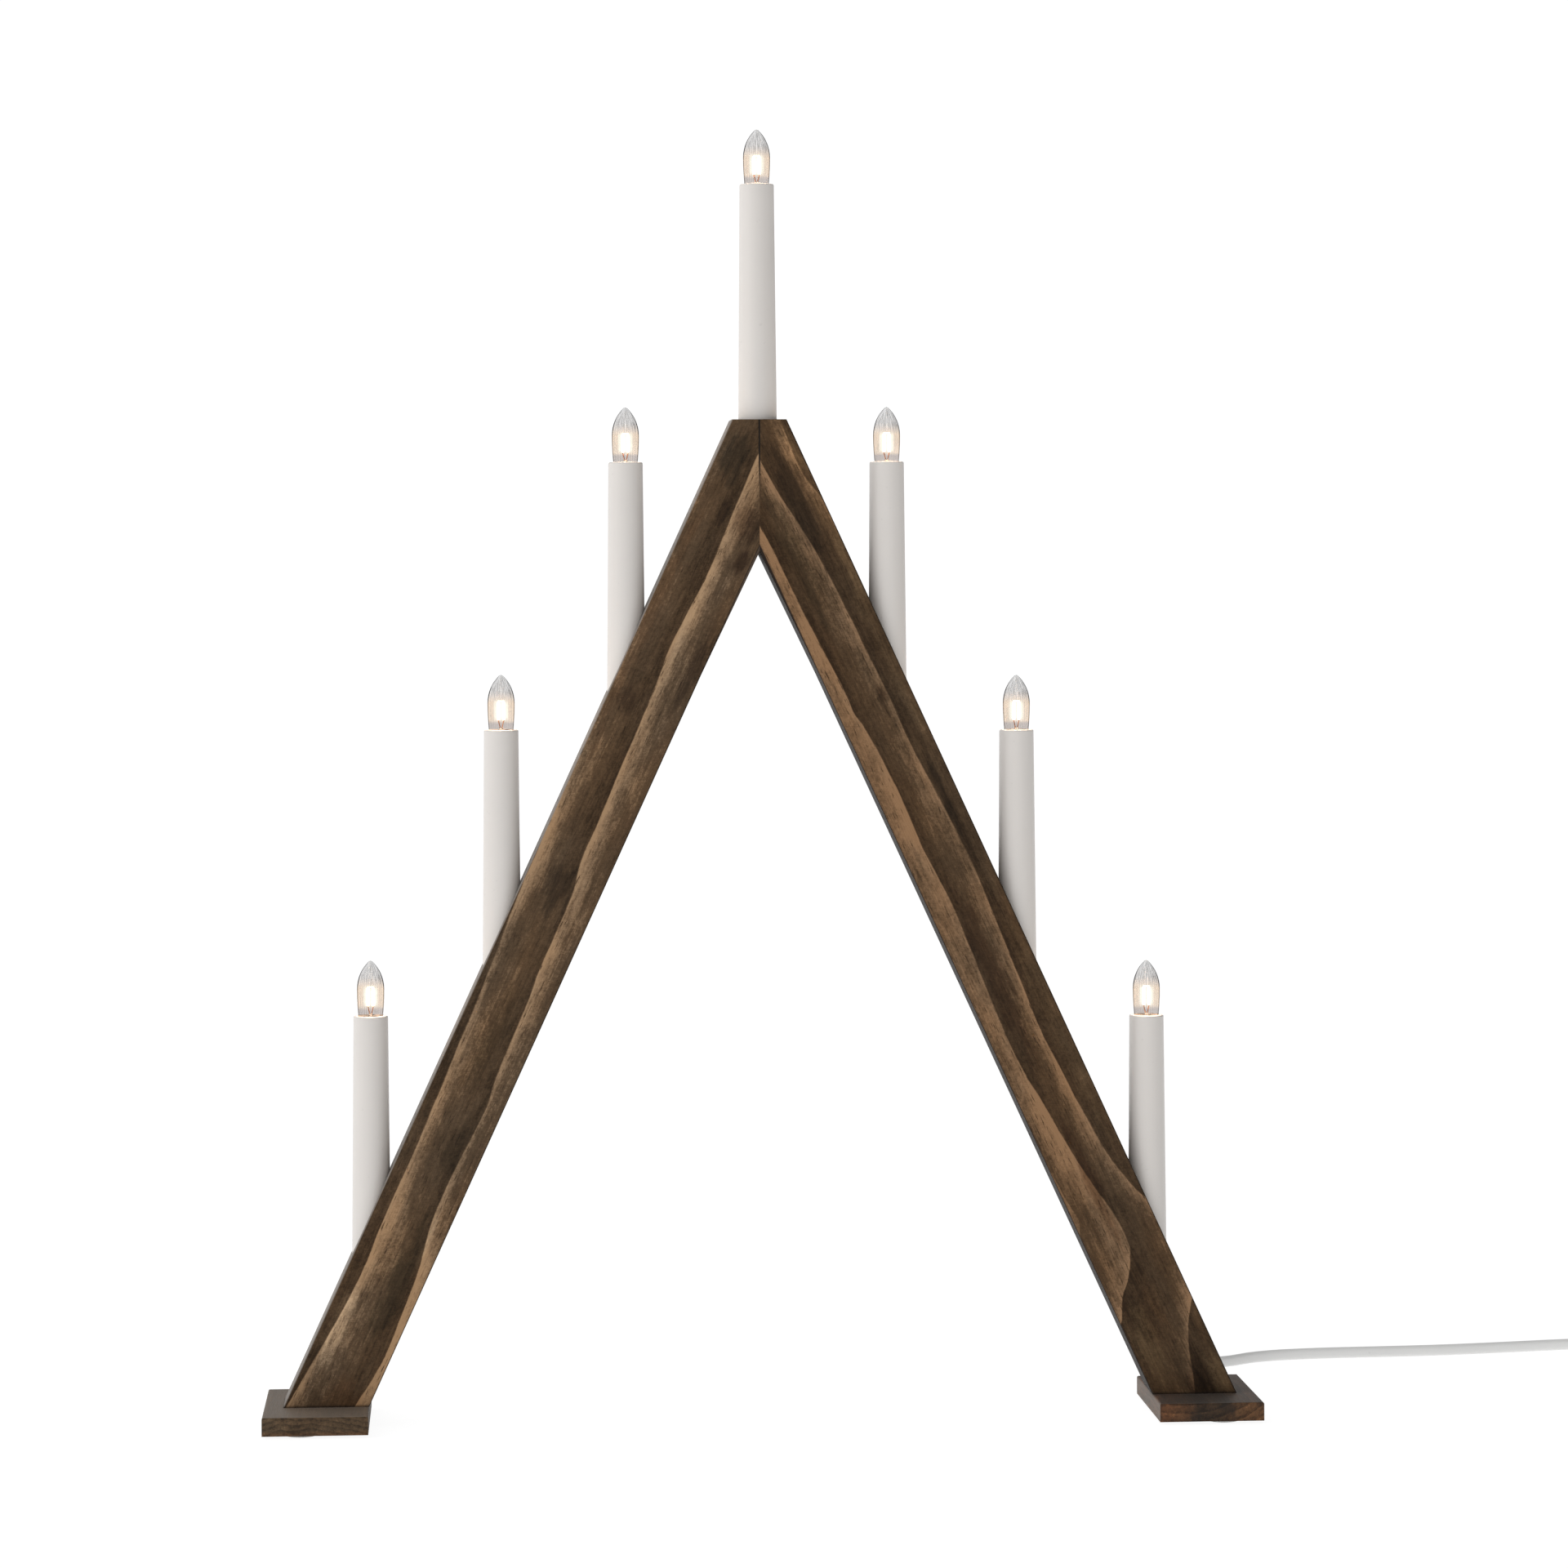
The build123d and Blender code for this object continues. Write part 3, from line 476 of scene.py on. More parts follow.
main_ring = calc(pine, "LESS_THAN", calc(pine, "ABSOLUTE", calc(pine, "SUBTRACT", ring, 0.5)), 0.75)
pale = calc(pine, "MULTIPLY", pale, calc(pine, "MULTIPLY_ADD", main_ring, 0.6, 0.4))
late = step(pine, calc(pine, "DIVIDE", past, given["Ring pitch"]), 0.45, 1.0)


def centred(value, size):
    """A pattern brought round zero and made stronger or weaker."""
    return calc(pine, "MULTIPLY", calc(pine, "SUBTRACT", value, 0.5), size)


blotch = streaks(pine, *where, 22, 75, 4.0)
fibre = streaks(pine, *where, 70, 1500, 2.0)
line = streaks(pine, *where, 9, 420, 3.0)
askew = calc(pine, "MULTIPLY_ADD", given["Along"], 2.2, given["Across"])
brush = streaks(pine, given["Across"], askew, given["Depth"], given["Seed"], 330, 1100, 3.0, 0.6)
cloud = streaks(pine, *where, 110, 210, 3.0)
mottle = streaks(pine, *where, 480, 700, 4.0, 0.75)
pores = step(pine, streaks(pine, *where, 130, 1250, 1.5), 0.62, 0.72)
pore_zone = spread(pine, streaks(pine, *where, 14, 90), 0.42, 0.62)
elsewhere = calc(pine, "MULTIPLY", pore_zone, 0.4)
pores = calc(pine, "MULTIPLY", pores, calc(pine, "MULTIPLY_ADD", pale, 0.9, elsewhere))
tone = calc(pine, "MULTIPLY_ADD", pale, given["Ring tone"], given["Base tone"])
tone = calc(pine, "MULTIPLY_ADD", late, -0.15, tone)
for pattern, size in ((blotch, 0.75), (cloud, 0.5), (mottle, 0.8), (fibre, 0.4), (line, 0.4), (brush, 0.4)):
    tone = calc(pine, "ADD", tone, centred(pattern, size))
tone = calc(pine, "MULTIPLY_ADD", pores, -0.55, tone)
lower_half = mixed(pine, calc(pine, "MULTIPLY", tone, 2.0), given["Dark"], given["Middle"])
stained = mixed(pine, calc(pine, "MULTIPLY_ADD", tone, 2.0, -1.0), lower_half, given["Pale"])
warmth = spread(pine, streaks(pine, *where, 12, 45), 0.38, 0.62)
hue = mixed(pine, warmth, (0.98, 1.0, 1.03, 1), (1.05, 0.98, 0.9, 1))
grain = calc(pine, "MULTIPLY_ADD", fibre, 0.5, calc(pine, "MULTIPLY", line, 0.5))
feed(out, {
    "Color": times(pine, stained, hue),
    "Roughness": calc(pine, "MULTIPLY_ADD", fibre, 0.25, 0.45),
    "Height": calc(pine, "SUBTRACT", grain, pores),
})
print(pine.name, len(pine.nodes), "nodes")

# %% [markdown]
# Every board has its own direction, so a second small group turns a place on a leg
# into three distances: along the leg from the top, across it from the outer edge,
# and in from the front. The same group serves both legs, mirrored by its Side value.

# %% Directions of the legs
LEAN = math.radians(24.66)
TOP = 0.490
HALF_TOP = 0.0134
LEG_WIDTH = 0.038
HALF_DEPTH = 0.014


def spot(tree):
    """The place in the object's own coordinates, which at rest are the world's."""
    return put(tree, "TexCoord").outputs["Object"]


leg_grain, given, out = new_group(
    "leg_directions", (("Side", "Float", 1),), (("Along", "Float"), ("Across", "Float"), ("Depth", "Float")),
)
place = split(leg_grain, spot(leg_grain))
x = calc(leg_grain, "MULTIPLY", place["X"], given["Side"])
along = calc(leg_grain, "MULTIPLY_ADD", x, math.sin(LEAN), TOP * math.cos(LEAN))
along = calc(leg_grain, "MULTIPLY_ADD", place["Z"], -math.cos(LEAN), along)
outer_line = HALF_TOP * math.cos(LEAN) + TOP * math.sin(LEAN)
across = calc(leg_grain, "MULTIPLY_ADD", x, -math.cos(LEAN), outer_line)
across = calc(leg_grain, "MULTIPLY_ADD", place["Z"], -math.sin(LEAN), across)
feed(out, {"Along": along, "Across": across, "Depth": calc(leg_grain, "ADD", place["Y"], HALF_DEPTH)})
print(leg_grain.name, "lean", round(math.degrees(LEAN), 2), "degrees")

# %% [markdown]
# Two rings of each leg are drawn, each as a Float Curve with a point every few
# centimetres: how far along the leg, and how far from the leg's outer edge the ring's
# pale edge runs there, both in millimetres.

# %% The legs' rings
LEG_LENGTH = 0.54
CURVE_LOW, CURVE_SPAN = -10, 60
LEFT_OUTER = [
    (0, -9), (120, -7), (180, -2), (225, 0), (268, 0.8), (292, 2.6), (317, 3.9), (342, 4.5), (385, 6),
    (435, 6.3), (455, 7.3), (472, 6.8), (491, 5.3), (510, 3.4), (527, 1.5), (540, 0),
]
LEFT_INNER = [
    (0, 19), (15, 18.6), (50, 19), (81, 20), (100, 19), (120, 18.3), (137, 19.4), (180, 20.5), (205, 21.5),
    (232, 22), (250, 24.8), (292, 25.5), (305, 26.5), (342, 27.6), (362, 29.4), (391, 28.1), (420, 28.1),
    (435, 30.3), (450, 32.3), (472, 33.8), (487, 34.6), (504, 33.4), (517, 31.5), (540, 29),
]
RIGHT_OUTER = [
    (0, 20), (29, 19.4), (50, 16.5), (70, 14), (94, 12.5), (137, 11.5), (180, 11), (205, 9.5), (247, 8.5),
    (280, 10), (305, 11.2), (330, 12.2), (360, 11), (379, 10), (397, 8.4), (410, 5.5), (422, 2.1),
    (432, -3), (452, -8), (474, -4), (484, 2.1), (495, 8.4), (506, 12.8), (517, 15.9), (530, 20), (540, 22),
]
RIGHT_INNER = [
    (0, 38), (40, 34), (62, 32.7), (88, 32.2), (112, 31.3), (137, 30), (150, 30.2), (156, 29), (180, 27.2),
    (205, 26.8), (224, 27.5), (242, 26.4), (257, 25.8), (280, 26.8), (299, 28), (330, 28.9), (349, 28.2),
    (360, 26.5), (385, 24.2), (410, 20.9), (429, 17.5), (441, 17.1), (450, 19.6), (460, 25.2), (466, 30.9),
    (476, 35.9), (484, 41), (500, 44), (540, 46),
]


def drawn(tree, along, points):
    """A drawn curve: metres along the leg in, metres from the outer edge out."""
    share = calc(tree, "DIVIDE", along, LEG_LENGTH)
    made = put(tree, "FloatCurve", {"Value": share})
    curve = made.mapping.curves[0]
    spots = [(u * MM / LEG_LENGTH, (v - CURVE_LOW) / CURVE_SPAN) for u, v in points]
    curve.points[0].location = spots[0]
    curve.points[1].location = spots[-1]
    for inner_spot in spots[1:-1]:
        curve.points.new(*inner_spot)
    made.mapping.update()
    return calc(tree, "MULTIPLY_ADD", made.outputs[0], CURVE_SPAN * MM, CURVE_LOW * MM)


print("ring points", [len(points) for points in (LEFT_OUTER, LEFT_INNER, RIGHT_OUTER, RIGHT_INNER)])

# %% [markdown]
# Most materials below end in the same way: a group's colour and roughness go to the
# shader, and its height goes through a Bump node to the shader's normal.

# %% Helpers for the materials


def finish_named(name):
    """A new material with its tree and its Principled shader."""
    made = bpy.data.materials.new(name)
    made.use_nodes = True
    return made, made.node_tree, made.node_tree.nodes["Principled BSDF"]


def lay_grain(tree, shader, grain, bump=0.0004, shine=0.2, color=None):
    """Connects a group's colour, roughness and height to the shader."""
    relief = put(tree, "Bump", {"Height": grain.outputs["Height"], "Distance": bump, "Strength": 0.6})
    feed(shader, {
        "Base Color": color or grain.outputs["Color"], "Roughness": grain.outputs["Roughness"],
        "Specular IOR Level": shine, "Normal": relief.outputs[0],
    })


def group_node(tree, group, **values):
    """A node of a group, with its inputs named as keywords."""
    made = tree.nodes.new("ShaderNodeGroup")
    made.node_tree = group
    feed(made, {key.replace("_", " "): value for key, value in values.items()})
    return made


def grey(tree, value):
    """A value as a colour without hue."""
    return put(tree, "CombineXYZ", {0: value, 1: value, 2: value}).outputs[0]


def dress(material, *names):
    """Gives CAD nodes a material in place of their plain one."""
    for name in names:
        nodes[name].material_slots[0].material = material
    print(material.name, "on", len(names))


def seven(piece):
    """The names of a piece that each candle has."""
    return [f"{piece}_{name}" for name in CANDLES]


# %% [markdown]
# The stain is darker in some places and paler in others. Such a patch is an oval with
# a ragged edge, within which the colour is multiplied by a tint. Their places along
# and across the legs, half lengths and half widths, in millimetres, and their tints
# are judged.

# %% Stain patches
patch, given, out = new_group("stain_patch", (
    ("Color", "Color"), ("Along", "Float"), ("Across", "Float"), ("Ragged", "Float"),
    ("Place along", "Float"), ("Place across", "Float"), ("Half length", "Float"), ("Half width", "Float"),
    ("Tint", "Color"),
), (("Color", "Color"),))
u = calc(patch, "SUBTRACT", given["Along"], given["Place along"])
u = calc(patch, "DIVIDE", u, given["Half length"])
v = calc(patch, "SUBTRACT", given["Across"], given["Place across"])
v = calc(patch, "DIVIDE", v, given["Half width"])
reach = calc(patch, "SQRT", calc(patch, "MULTIPLY_ADD", u, u, calc(patch, "MULTIPLY", v, v)))
reach = calc(patch, "ADD", reach, given["Ragged"])
inside = step(patch, reach, 1.15, 0.35)
feed(out, {"Color": mixed(patch, inside, given["Color"], given["Tint"], "MULTIPLY")})
LEFT_PATCHES = [
    (22, 9, 15, 9, (0.46, 0.49, 0.5)), (49, 15.5, 8, 3.4, (0.48, 0.45, 0.43)),
    (49, 29, 12, 8, (0.5, 0.47, 0.46)), (68, 33, 7, 4.5, (0.5, 0.45, 0.42)),
    (122, 33, 26, 4, (0.55, 0.53, 0.52)), (151, 10, 9, 6, (0.58, 0.55, 0.53)),
    (110, 4, 70, 4.5, (1.2, 1.13, 1.08)), (100, 22, 40, 4, (1.18, 1.2, 1.22)),
    (247, 17, 16, 8, (0.5, 0.5, 0.5)), (330, 19, 30, 6, (0.66, 0.66, 0.63)),
    (457, 26, 36, 7, (0.58, 0.6, 0.57)), (487, 8.5, 32, 5.5, (1.6, 1.72, 1.85)),
    (431, 30.8, 14, 2, (1.35, 1.42, 1.5)), (519, 24, 13, 10, (1.05, 0.95, 0.86)),
    (385, 24, 18, 6, (0.62, 0.62, 0.6)),
]
RIGHT_PATCHES = [
    (20, 4.5, 16, 4.5, (1.6, 1.62, 1.6)), (62, 3, 42, 3.2, (1.4, 1.42, 1.42)),
    (42, 12.5, 38, 6, (0.55, 0.55, 0.55)), (68, 24, 36, 6, (0.68, 0.7, 0.68)),
    (147, 14.5, 6, 2.8, (0.5, 0.46, 0.42)), (205, 7.5, 26, 2.4, (0.5, 0.5, 0.5)),
    (295, 22, 50, 6, (0.68, 0.61, 0.56)), (120, 3.5, 62, 4.5, (1.2, 1.26, 1.3)),
    (330, 5, 74, 5, (1.2, 1.26, 1.3)), (521, 4, 15, 5, (1.8, 1.95, 2.0)),
    (492, 30, 26, 7, (1.3, 1.4, 1.42)), (521, 15, 13, 8, (0.52, 0.48, 0.45)),
    (406, 21.5, 36, 4, (0.62, 0.55, 0.5)), (475, 17, 14, 5, (1.15, 1.1, 1.05)),
]
print("patches", len(LEFT_PATCHES), len(RIGHT_PATCHES))

# %% [markdown]
# A leg's own material draws its two rings and its patches, then what belongs to its
# edges: a thin line along each edge, a painted highlight on the left leg's outer edge
# and painted shade on the others, the narrow sides, of which the left leg's outer one
# has a painted sheen and the right leg's inner one painted shade, and the painted
# shadow in the mitre at the top and where the leg meets its foot.

# %% The legs' wood
# Near black: painted shade in the mitre and on a leg just above its foot, and the dark blotches on the feet.
SHADE_AND_BLOTCH = (0.012, 0.009, 0.007, 1)
# The near-black is painted shade on edge lines and on the right leg's inner side, the grey a painted sheen on
# the left leg's outer edge and side; the brown is the wood's own.
PAINTED_SHADE, BROWN, PAINTED_SHEEN = (0.014, 0.010, 0.008), (0.088, 0.062, 0.045), (0.27, 0.24, 0.215)


def leg_wood(name, side, outer, inner, edges, sides, patches, low_fade, **values):
    """Stained pine for one leg, with its own two rings and stain patches, and edge lines and narrow sides
    that mostly carry painted sheen and painted shade.
    """
    made, tree, shader = finish_named(name)
    way = group_node(tree, leg_grain, Side=side).outputs
    start = drawn(tree, way["Along"], outer)
    pitch = calc(tree, "SUBTRACT", drawn(tree, way["Along"], inner), start)
    grain = group_node(
        tree, pine, Along=way["Along"], Across=way["Across"], Depth=way["Depth"], Ring_start=start,
        Ring_pitch=pitch, Outer_fade=step(tree, way["Along"], 0.43, 0.50, *low_fade), **values,
    )
    ragged = streaks(tree, way["Along"], way["Across"], way["Depth"], values["Seed"], 70, 260, 4.0)
    ragged = calc(tree, "MULTIPLY_ADD", ragged, 2.0, -1.0)
    color = grain.outputs["Color"]
    for u, v, length, width, tint in patches:
        color = group_node(
            tree, patch, Color=color, Along=way["Along"], Across=way["Across"], Ragged=ragged,
            Place_along=u * MM, Place_across=v * MM, Half_length=length * MM, Half_width=width * MM,
            Tint=(*tint, 1),
        ).outputs[0]
    side_streaks = streaks(tree, way["Along"], way["Depth"], way["Across"], values["Seed"], 40, 900)
    side_streaks = grey(tree, step(tree, side_streaks, 0.3, 0.7, 0.72, 1.2))
    from_inner = calc(tree, "SUBTRACT", LEG_WIDTH, way["Across"])
    # Each edge gets a thin line and its narrow side a flat colour: painted sheen where they are grey, painted
    # shade where they are near black.
    for reach, edge, flat in zip((way["Across"], from_inner), edges, sides):
        color = mixed(tree, step(tree, reach, 0.0007, 0.0002, 0, 0.8), color, (*edge, 1))
        flat = times(tree, (*flat, 1), side_streaks)
        color = mixed(tree, step(tree, reach, 0.00009, 0.00003, 0, 0.85), color, flat)
    place = split(tree, spot(tree))
    # Painted shade in the mitre at the top and on the leg just above its foot.
    seam = step(tree, calc(tree, "ABSOLUTE", place["X"]), 0.0006, 0.0002)
    joint = calc(tree, "MULTIPLY", seam, step(tree, place["Z"], 0.450, 0.470))
    foot = step(tree, place["Z"], 0.0121, 0.0106, 0, 0.75)
    color = mixed(tree, calc(tree, "MAXIMUM", joint, foot), color, SHADE_AND_BLOTCH)
    lay_grain(tree, shader, grain, shine=0.12, color=color)
    return made


# The left leg's outer edge and side get a painted sheen, its inner edge painted shade.
left_wood = leg_wood(
    "left_leg_stain", -1, LEFT_OUTER, LEFT_INNER, (PAINTED_SHEEN, PAINTED_SHADE), (PAINTED_SHEEN, BROWN), LEFT_PATCHES,
    (0.006, 0.009), Inner_fade=0.008, Seed=3.0,
    Dark=(0.0325, 0.0185, 0.0083, 1), Middle=(0.112, 0.069, 0.0375, 1), Pale=(0.386, 0.254, 0.148, 1),
)
# The right leg's edges and its inner side get painted shade; its outer side is brown.
right_wood = leg_wood(
    "right_leg_stain", 1, RIGHT_OUTER, RIGHT_INNER, (PAINTED_SHADE, PAINTED_SHADE), (BROWN, PAINTED_SHADE), RIGHT_PATCHES,
    (0.005, 0.005), Inner_fade=0.012, Seed=8.0,
    Dark=(0.0277, 0.0148, 0.0062, 1), Middle=(0.0936, 0.0555, 0.028, 1), Pale=(0.300, 0.182, 0.100, 1),
)
dress(left_wood, "left_leg")
dress(right_wood, "right_leg")

# %% [markdown]
# The feet are short pieces of plank whose grain runs from front to back, so their
# front faces show end grain: thin arcs round the heart of the tree, which lay below
# the left plank and above the right one. Ramps across and up each foot give its
# redder and darker parts. Its top and its two ends each get a colour of their own by
# the way they face, which is painted light and shade.

# %% Feet, cover strips and dowels


def ramp(tree, share, *stops):
    """A colour ramp over the given share, from (place, colour) stops."""
    made = put(tree, "ValToRGB", {0: share})
    elements = made.color_ramp.elements
    elements[0].position, elements[0].color = stops[0][0], (*stops[0][1], 1)
    elements[1].position, elements[1].color = stops[-1][0], (*stops[-1][1], 1)
    for place, color in stops[1:-1]:
        elements.new(place).color = (*color, 1)
    return made.outputs[0]


def foot_wood(name, foot, heart, pitch, waviness, seed, blotches, stains, low_stains, top, ends):
    """Stained end-grain wood for a foot, with its rings round a heart (x, z), and painted light and shade on
    its top and its ends.
    """
    made, tree, shader = finish_named(name)
    place = split(tree, spot(tree))
    x = calc(tree, "SUBTRACT", place["X"], heart[0])
    z = calc(tree, "SUBTRACT", place["Z"], heart[1])
    away = calc(tree, "SQRT", calc(tree, "MULTIPLY_ADD", x, x, calc(tree, "MULTIPLY", z, z)))
    grain = group_node(
        tree, pine, Along=place["Y"], Across=away, Depth=x, Ring_start=0.0, Ring_pitch=pitch,
        Outer_fade=pitch * 0.16, Inner_fade=pitch * 0.16, Slant=0.0, Waviness=waviness, Seed=seed,
        Base_tone=0.27, Ring_tone=1.3,
    )
    low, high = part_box(foot)
    across = ramp(tree, spread(tree, place["X"], low[0], high[0]), *stains)
    upwards = ramp(tree, spread(tree, place["Z"], low[2], high[2]), *low_stains)
    color = times(tree, times(tree, grain.outputs["Color"], across), upwards)
    spots = streaks(tree, place["Y"], place["X"], place["Z"], seed, 40, 95, 4.0)
    # Dark blotches of the wood, in the same near-black as the painted shade of the legs.
    color = mixed(tree, step(tree, spots, 0.48, 0.62, 0, blotches), color, SHADE_AND_BLOTCH)
    # The top and the ends get colours by the way they face: painted light and shade.
    normal = split(tree, put(tree, "NewGeometry").outputs["Normal"])
    color = mixed(tree, step(tree, normal["Z"], 0.6, 0.95, 0, 0.62), color, (*top, 1))
    endwards = calc(tree, "ABSOLUTE", normal["X"])
    color = mixed(tree, step(tree, endwards, 0.6, 0.95, 0, 0.55), color, (*ends, 1))
    lay_grain(tree, shader, grain, shine=0.25, color=color)
    return made


left_foot_wood = foot_wood(
    "left_foot_stain", "left_foot", (-0.222, -0.068), 0.0026, 0.0032, 12.0, 0.1,
    [(0, (1.12, 1.16, 1.12)), (0.5, (1.16, 1.18, 1.14)), (1, (1.25, 1.25, 1.16))],
    [(0, (1.3, 1.03, 0.86)), (0.14, (1.2, 1.02, 0.9)), (0.28, (1, 1, 1)), (1, (1, 1, 1))],
    (0.25, 0.207, 0.170), (0.12, 0.10, 0.085),
)
right_foot_wood = foot_wood(
    "right_foot_stain", "right_foot", (0.205, 0.060), 0.0042, 0.0016, 21.0, 0.55,
    [
        (0, (1.45, 0.98, 0.72)), (0.22, (1.35, 1.0, 0.76)), (0.36, (0.5, 0.47, 0.45)),
        (0.6, (0.6, 0.54, 0.48)), (0.76, (1.45, 1.2, 0.98)), (1, (1.55, 1.2, 0.92)),
    ],
    [(0, (0.95, 0.95, 0.95)), (0.75, (1, 1, 1)), (0.9, (0.9, 0.9, 0.9)), (1, (1, 1, 1))],
    (0.095, 0.082, 0.072), (0.19, 0.165, 0.14),
)
dress(left_foot_wood, "left_foot")
dress(right_foot_wood, "right_foot")


def strip_wood(name, side, seed):
    """Straight-grained wood that follows a leg's direction."""
    made, tree, shader = finish_named(name)
    way = group_node(tree, leg_grain, Side=side).outputs
    grain = group_node(
        tree, pine, Along=way["Along"], Across=way["Across"], Depth=way["Depth"], Ring_pitch=0.0055,
        Outer_fade=0.002, Inner_fade=0.002, Seed=seed, Base_tone=0.2, Ring_tone=0.25,
    )
    lay_grain(tree, shader, grain)
    return made


dress(strip_wood("left_cover_stain", -1, 31.0), "left_back_cover")
dress(strip_wood("right_cover_stain", 1, 34.0), "right_back_cover")

beech, tree, shader = finish_named("plain_beech")
place = split(tree, spot(tree))
grain = group_node(
    tree, pine, Along=place["X"], Across=place["Z"], Depth=place["Y"], Ring_pitch=0.0012,
    Outer_fade=0.0005, Inner_fade=0.0005, Seed=40.0, Base_tone=0.5, Ring_tone=0.2,
    Dark=(0.36, 0.22, 0.11, 1), Middle=(0.55, 0.37, 0.2, 1), Pale=(0.68, 0.5, 0.3, 1),
)
lay_grain(tree, shader, grain, 0.0001)
dress(beech, "apex_dowels")

# %% [markdown]
# The white plastics are never quite even. A moulding has faint clouds in its colour,
# a fine grain on its skin, and a few faint specks. One group gives all that, and each
# plastic sets its own white and its own shine. A second group does the same for the
# small metal parts, with fine lines turned into them.

# %% Plastics, metals and felt
moulded, given, out = new_group("moulded_plastic", (
    ("White", "Color", (0.8, 0.785, 0.75, 1)), ("Shine", "Float", 0.35),
    ("Clouds", "Float", 0.04), ("Grain", "Float", 2600.0),
), FINISH)
place = spot(moulded)
cloud = noise(moulded, place, 45.0, 3.0)
surface = noise(moulded, place, given["Grain"])
speck = spread(moulded, noise(moulded, place, 420.0, 1.0), 0.74, 0.8, 1.0, 0.94)
level = calc(moulded, "MULTIPLY_ADD", calc(moulded, "SUBTRACT", cloud, 0.5), given["Clouds"], 1.0)
level = calc(moulded, "MULTIPLY", level, speck)
feed(out, {
    "Color": times(moulded, given["White"], grey(moulded, level)),
    "Roughness": calc(moulded, "MULTIPLY_ADD", cloud, 0.15, given["Shine"]),
    "Height": calc(moulded, "MULTIPLY_ADD", surface, 0.6, cloud),
})


def plastic(name, white, shine, **values):
    """A white plastic."""
    made, tree, shader = finish_named(name)
    group = group_node(tree, moulded, White=(*white, 1), Shine=shine, **values)
    lay_grain(tree, shader, group, 0.00005, 0.5)
    return made


sleeve_white = plastic("sleeve_plastic", (0.755, 0.718, 0.683), 0.3)
moulding_white = plastic("moulding_plastic", (0.78, 0.76, 0.72), 0.38)
lead_white = plastic("lead_plastic", (0.82, 0.82, 0.81), 0.25, Clouds=0.03)
wire_white = plastic("wire_insulation", (0.84, 0.84, 0.82), 0.3)
dress(sleeve_white, *seven("candle_tube"))
dress(moulding_white, "tube_bushes", *seven("lampholder"))
dress(lead_white, "cord_gland")
dress(wire_white, "wire_harness")
for piece in (mains_lead, plug):
    piece.data.materials.append(lead_white)

turned, given, out = new_group(
    "turned_metal", (("Tint", "Color", (0.7, 0.7, 0.7, 1)), ("Shine", "Float", 0.25)), FINISH,
)
place = spot(turned)
stretched = put(turned, "Mapping", {"Vector": place, "Scale": (60, 60, 5200)}).outputs[0]
stain = noise(turned, place, 700.0, 3.0)
dull = grey(turned, spread(turned, stain, 0.35, 0.7, 0.88, 1.03))
feed(out, {
    "Color": times(turned, given["Tint"], dull),
    "Roughness": calc(turned, "MULTIPLY_ADD", stain, 0.2, given["Shine"]),
    "Height": noise(turned, stretched, 1.0),
})


def metal(name, tint, shine):
    """A turned or rolled metal."""
    made, tree, shader = finish_named(name)
    feed(shader, {"Metallic": 1.0})
    lay_grain(tree, shader, group_node(tree, turned, Tint=(*tint, 1), Shine=shine), 0.00003, 0.5)
    return made


dress(metal("nickelled_cap", (0.66, 0.58, 0.44), 0.2), *seven("bulb_cap"))
dress(metal("socket_brass_sheet", (0.72, 0.5, 0.2), 0.22), "socket_shells", "socket_contacts")
dress(metal("zinc_screw", (0.55, 0.54, 0.5), 0.32), "foot_screws")

SLEEVE_EDGE = (10.2, 9.9)
pin_metal, tree, shader = finish_named("sleeved_pin")
low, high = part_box("plug_pins")
sleeve_edge = [high[0] - distance * MM for distance in SLEEVE_EDGE]
sleeve = step(tree, split(tree, spot(tree))["X"], *sleeve_edge)
grain = group_node(tree, turned, Tint=(0.68, 0.66, 0.62, 1), Shine=0.12)
rubber = group_node(tree, moulded, White=(0.8, 0.8, 0.79, 1), Shine=0.3)
both = mixed(tree, sleeve, grain.outputs["Color"], rubber.outputs["Color"])
lay_grain(tree, shader, grain, 0.00003, 0.5, both)
feed(shader, {"Metallic": calc(tree, "SUBTRACT", 1.0, sleeve)})
dress(pin_metal, "plug_pins")

felt, tree, shader = finish_named("grey_felt")
fuzz = noise(tree, spot(tree), 1800.0, 4.0, 0.75)
shade = ramp(tree, fuzz, (0.3, (0.6, 0.59, 0.57)), (0.7, (0.88, 0.87, 0.85)))
relief = put(tree, "Bump", {"Height": fuzz, "Distance": 0.0004, "Strength": 1.0}).outputs[0]
feed(shader, {"Base Color": shade, "Roughness": 1.0, "Sheen Weight": 0.4, "Normal": relief})
dress(felt, "foot_pads")

# %% [markdown]
# Each bulb's envelope has fine upright flutes pressed into it. It starts as a circle
# of points, of which every fourth is drawn in a little and its neighbours half as
# much: that makes the flutes. The circle is then extruded upwards ring by ring along
# the bulb's outline and closed at the tip. A second skin without flutes makes the
# inside, and the two are bridged at the neck. The outline is the CAD model's own: a
# slanted neck, a slow swell to the belly, and one arc from there to the tip.

# %% Fluted envelope
FLUTES = 36
FLUTE_DEPTH = 0.2
NECK, FOOT, BELLY = (4.95, -2.4), (6.0, 0.0), (6.65, 13.0)
TIP_RADIUS, TIP_HEIGHT, WALL = 0.5, 26.9, 0.8
RING_HEIGHTS = (
    -2.4, -1.2, 0.0, 2.0, 5.0, 9.0, 13.0, 15.0, 17.0, 18.8,
    20.4, 21.8, 23.0, 24.0, 24.8, 25.4, 25.9, 26.3, 26.6,
)


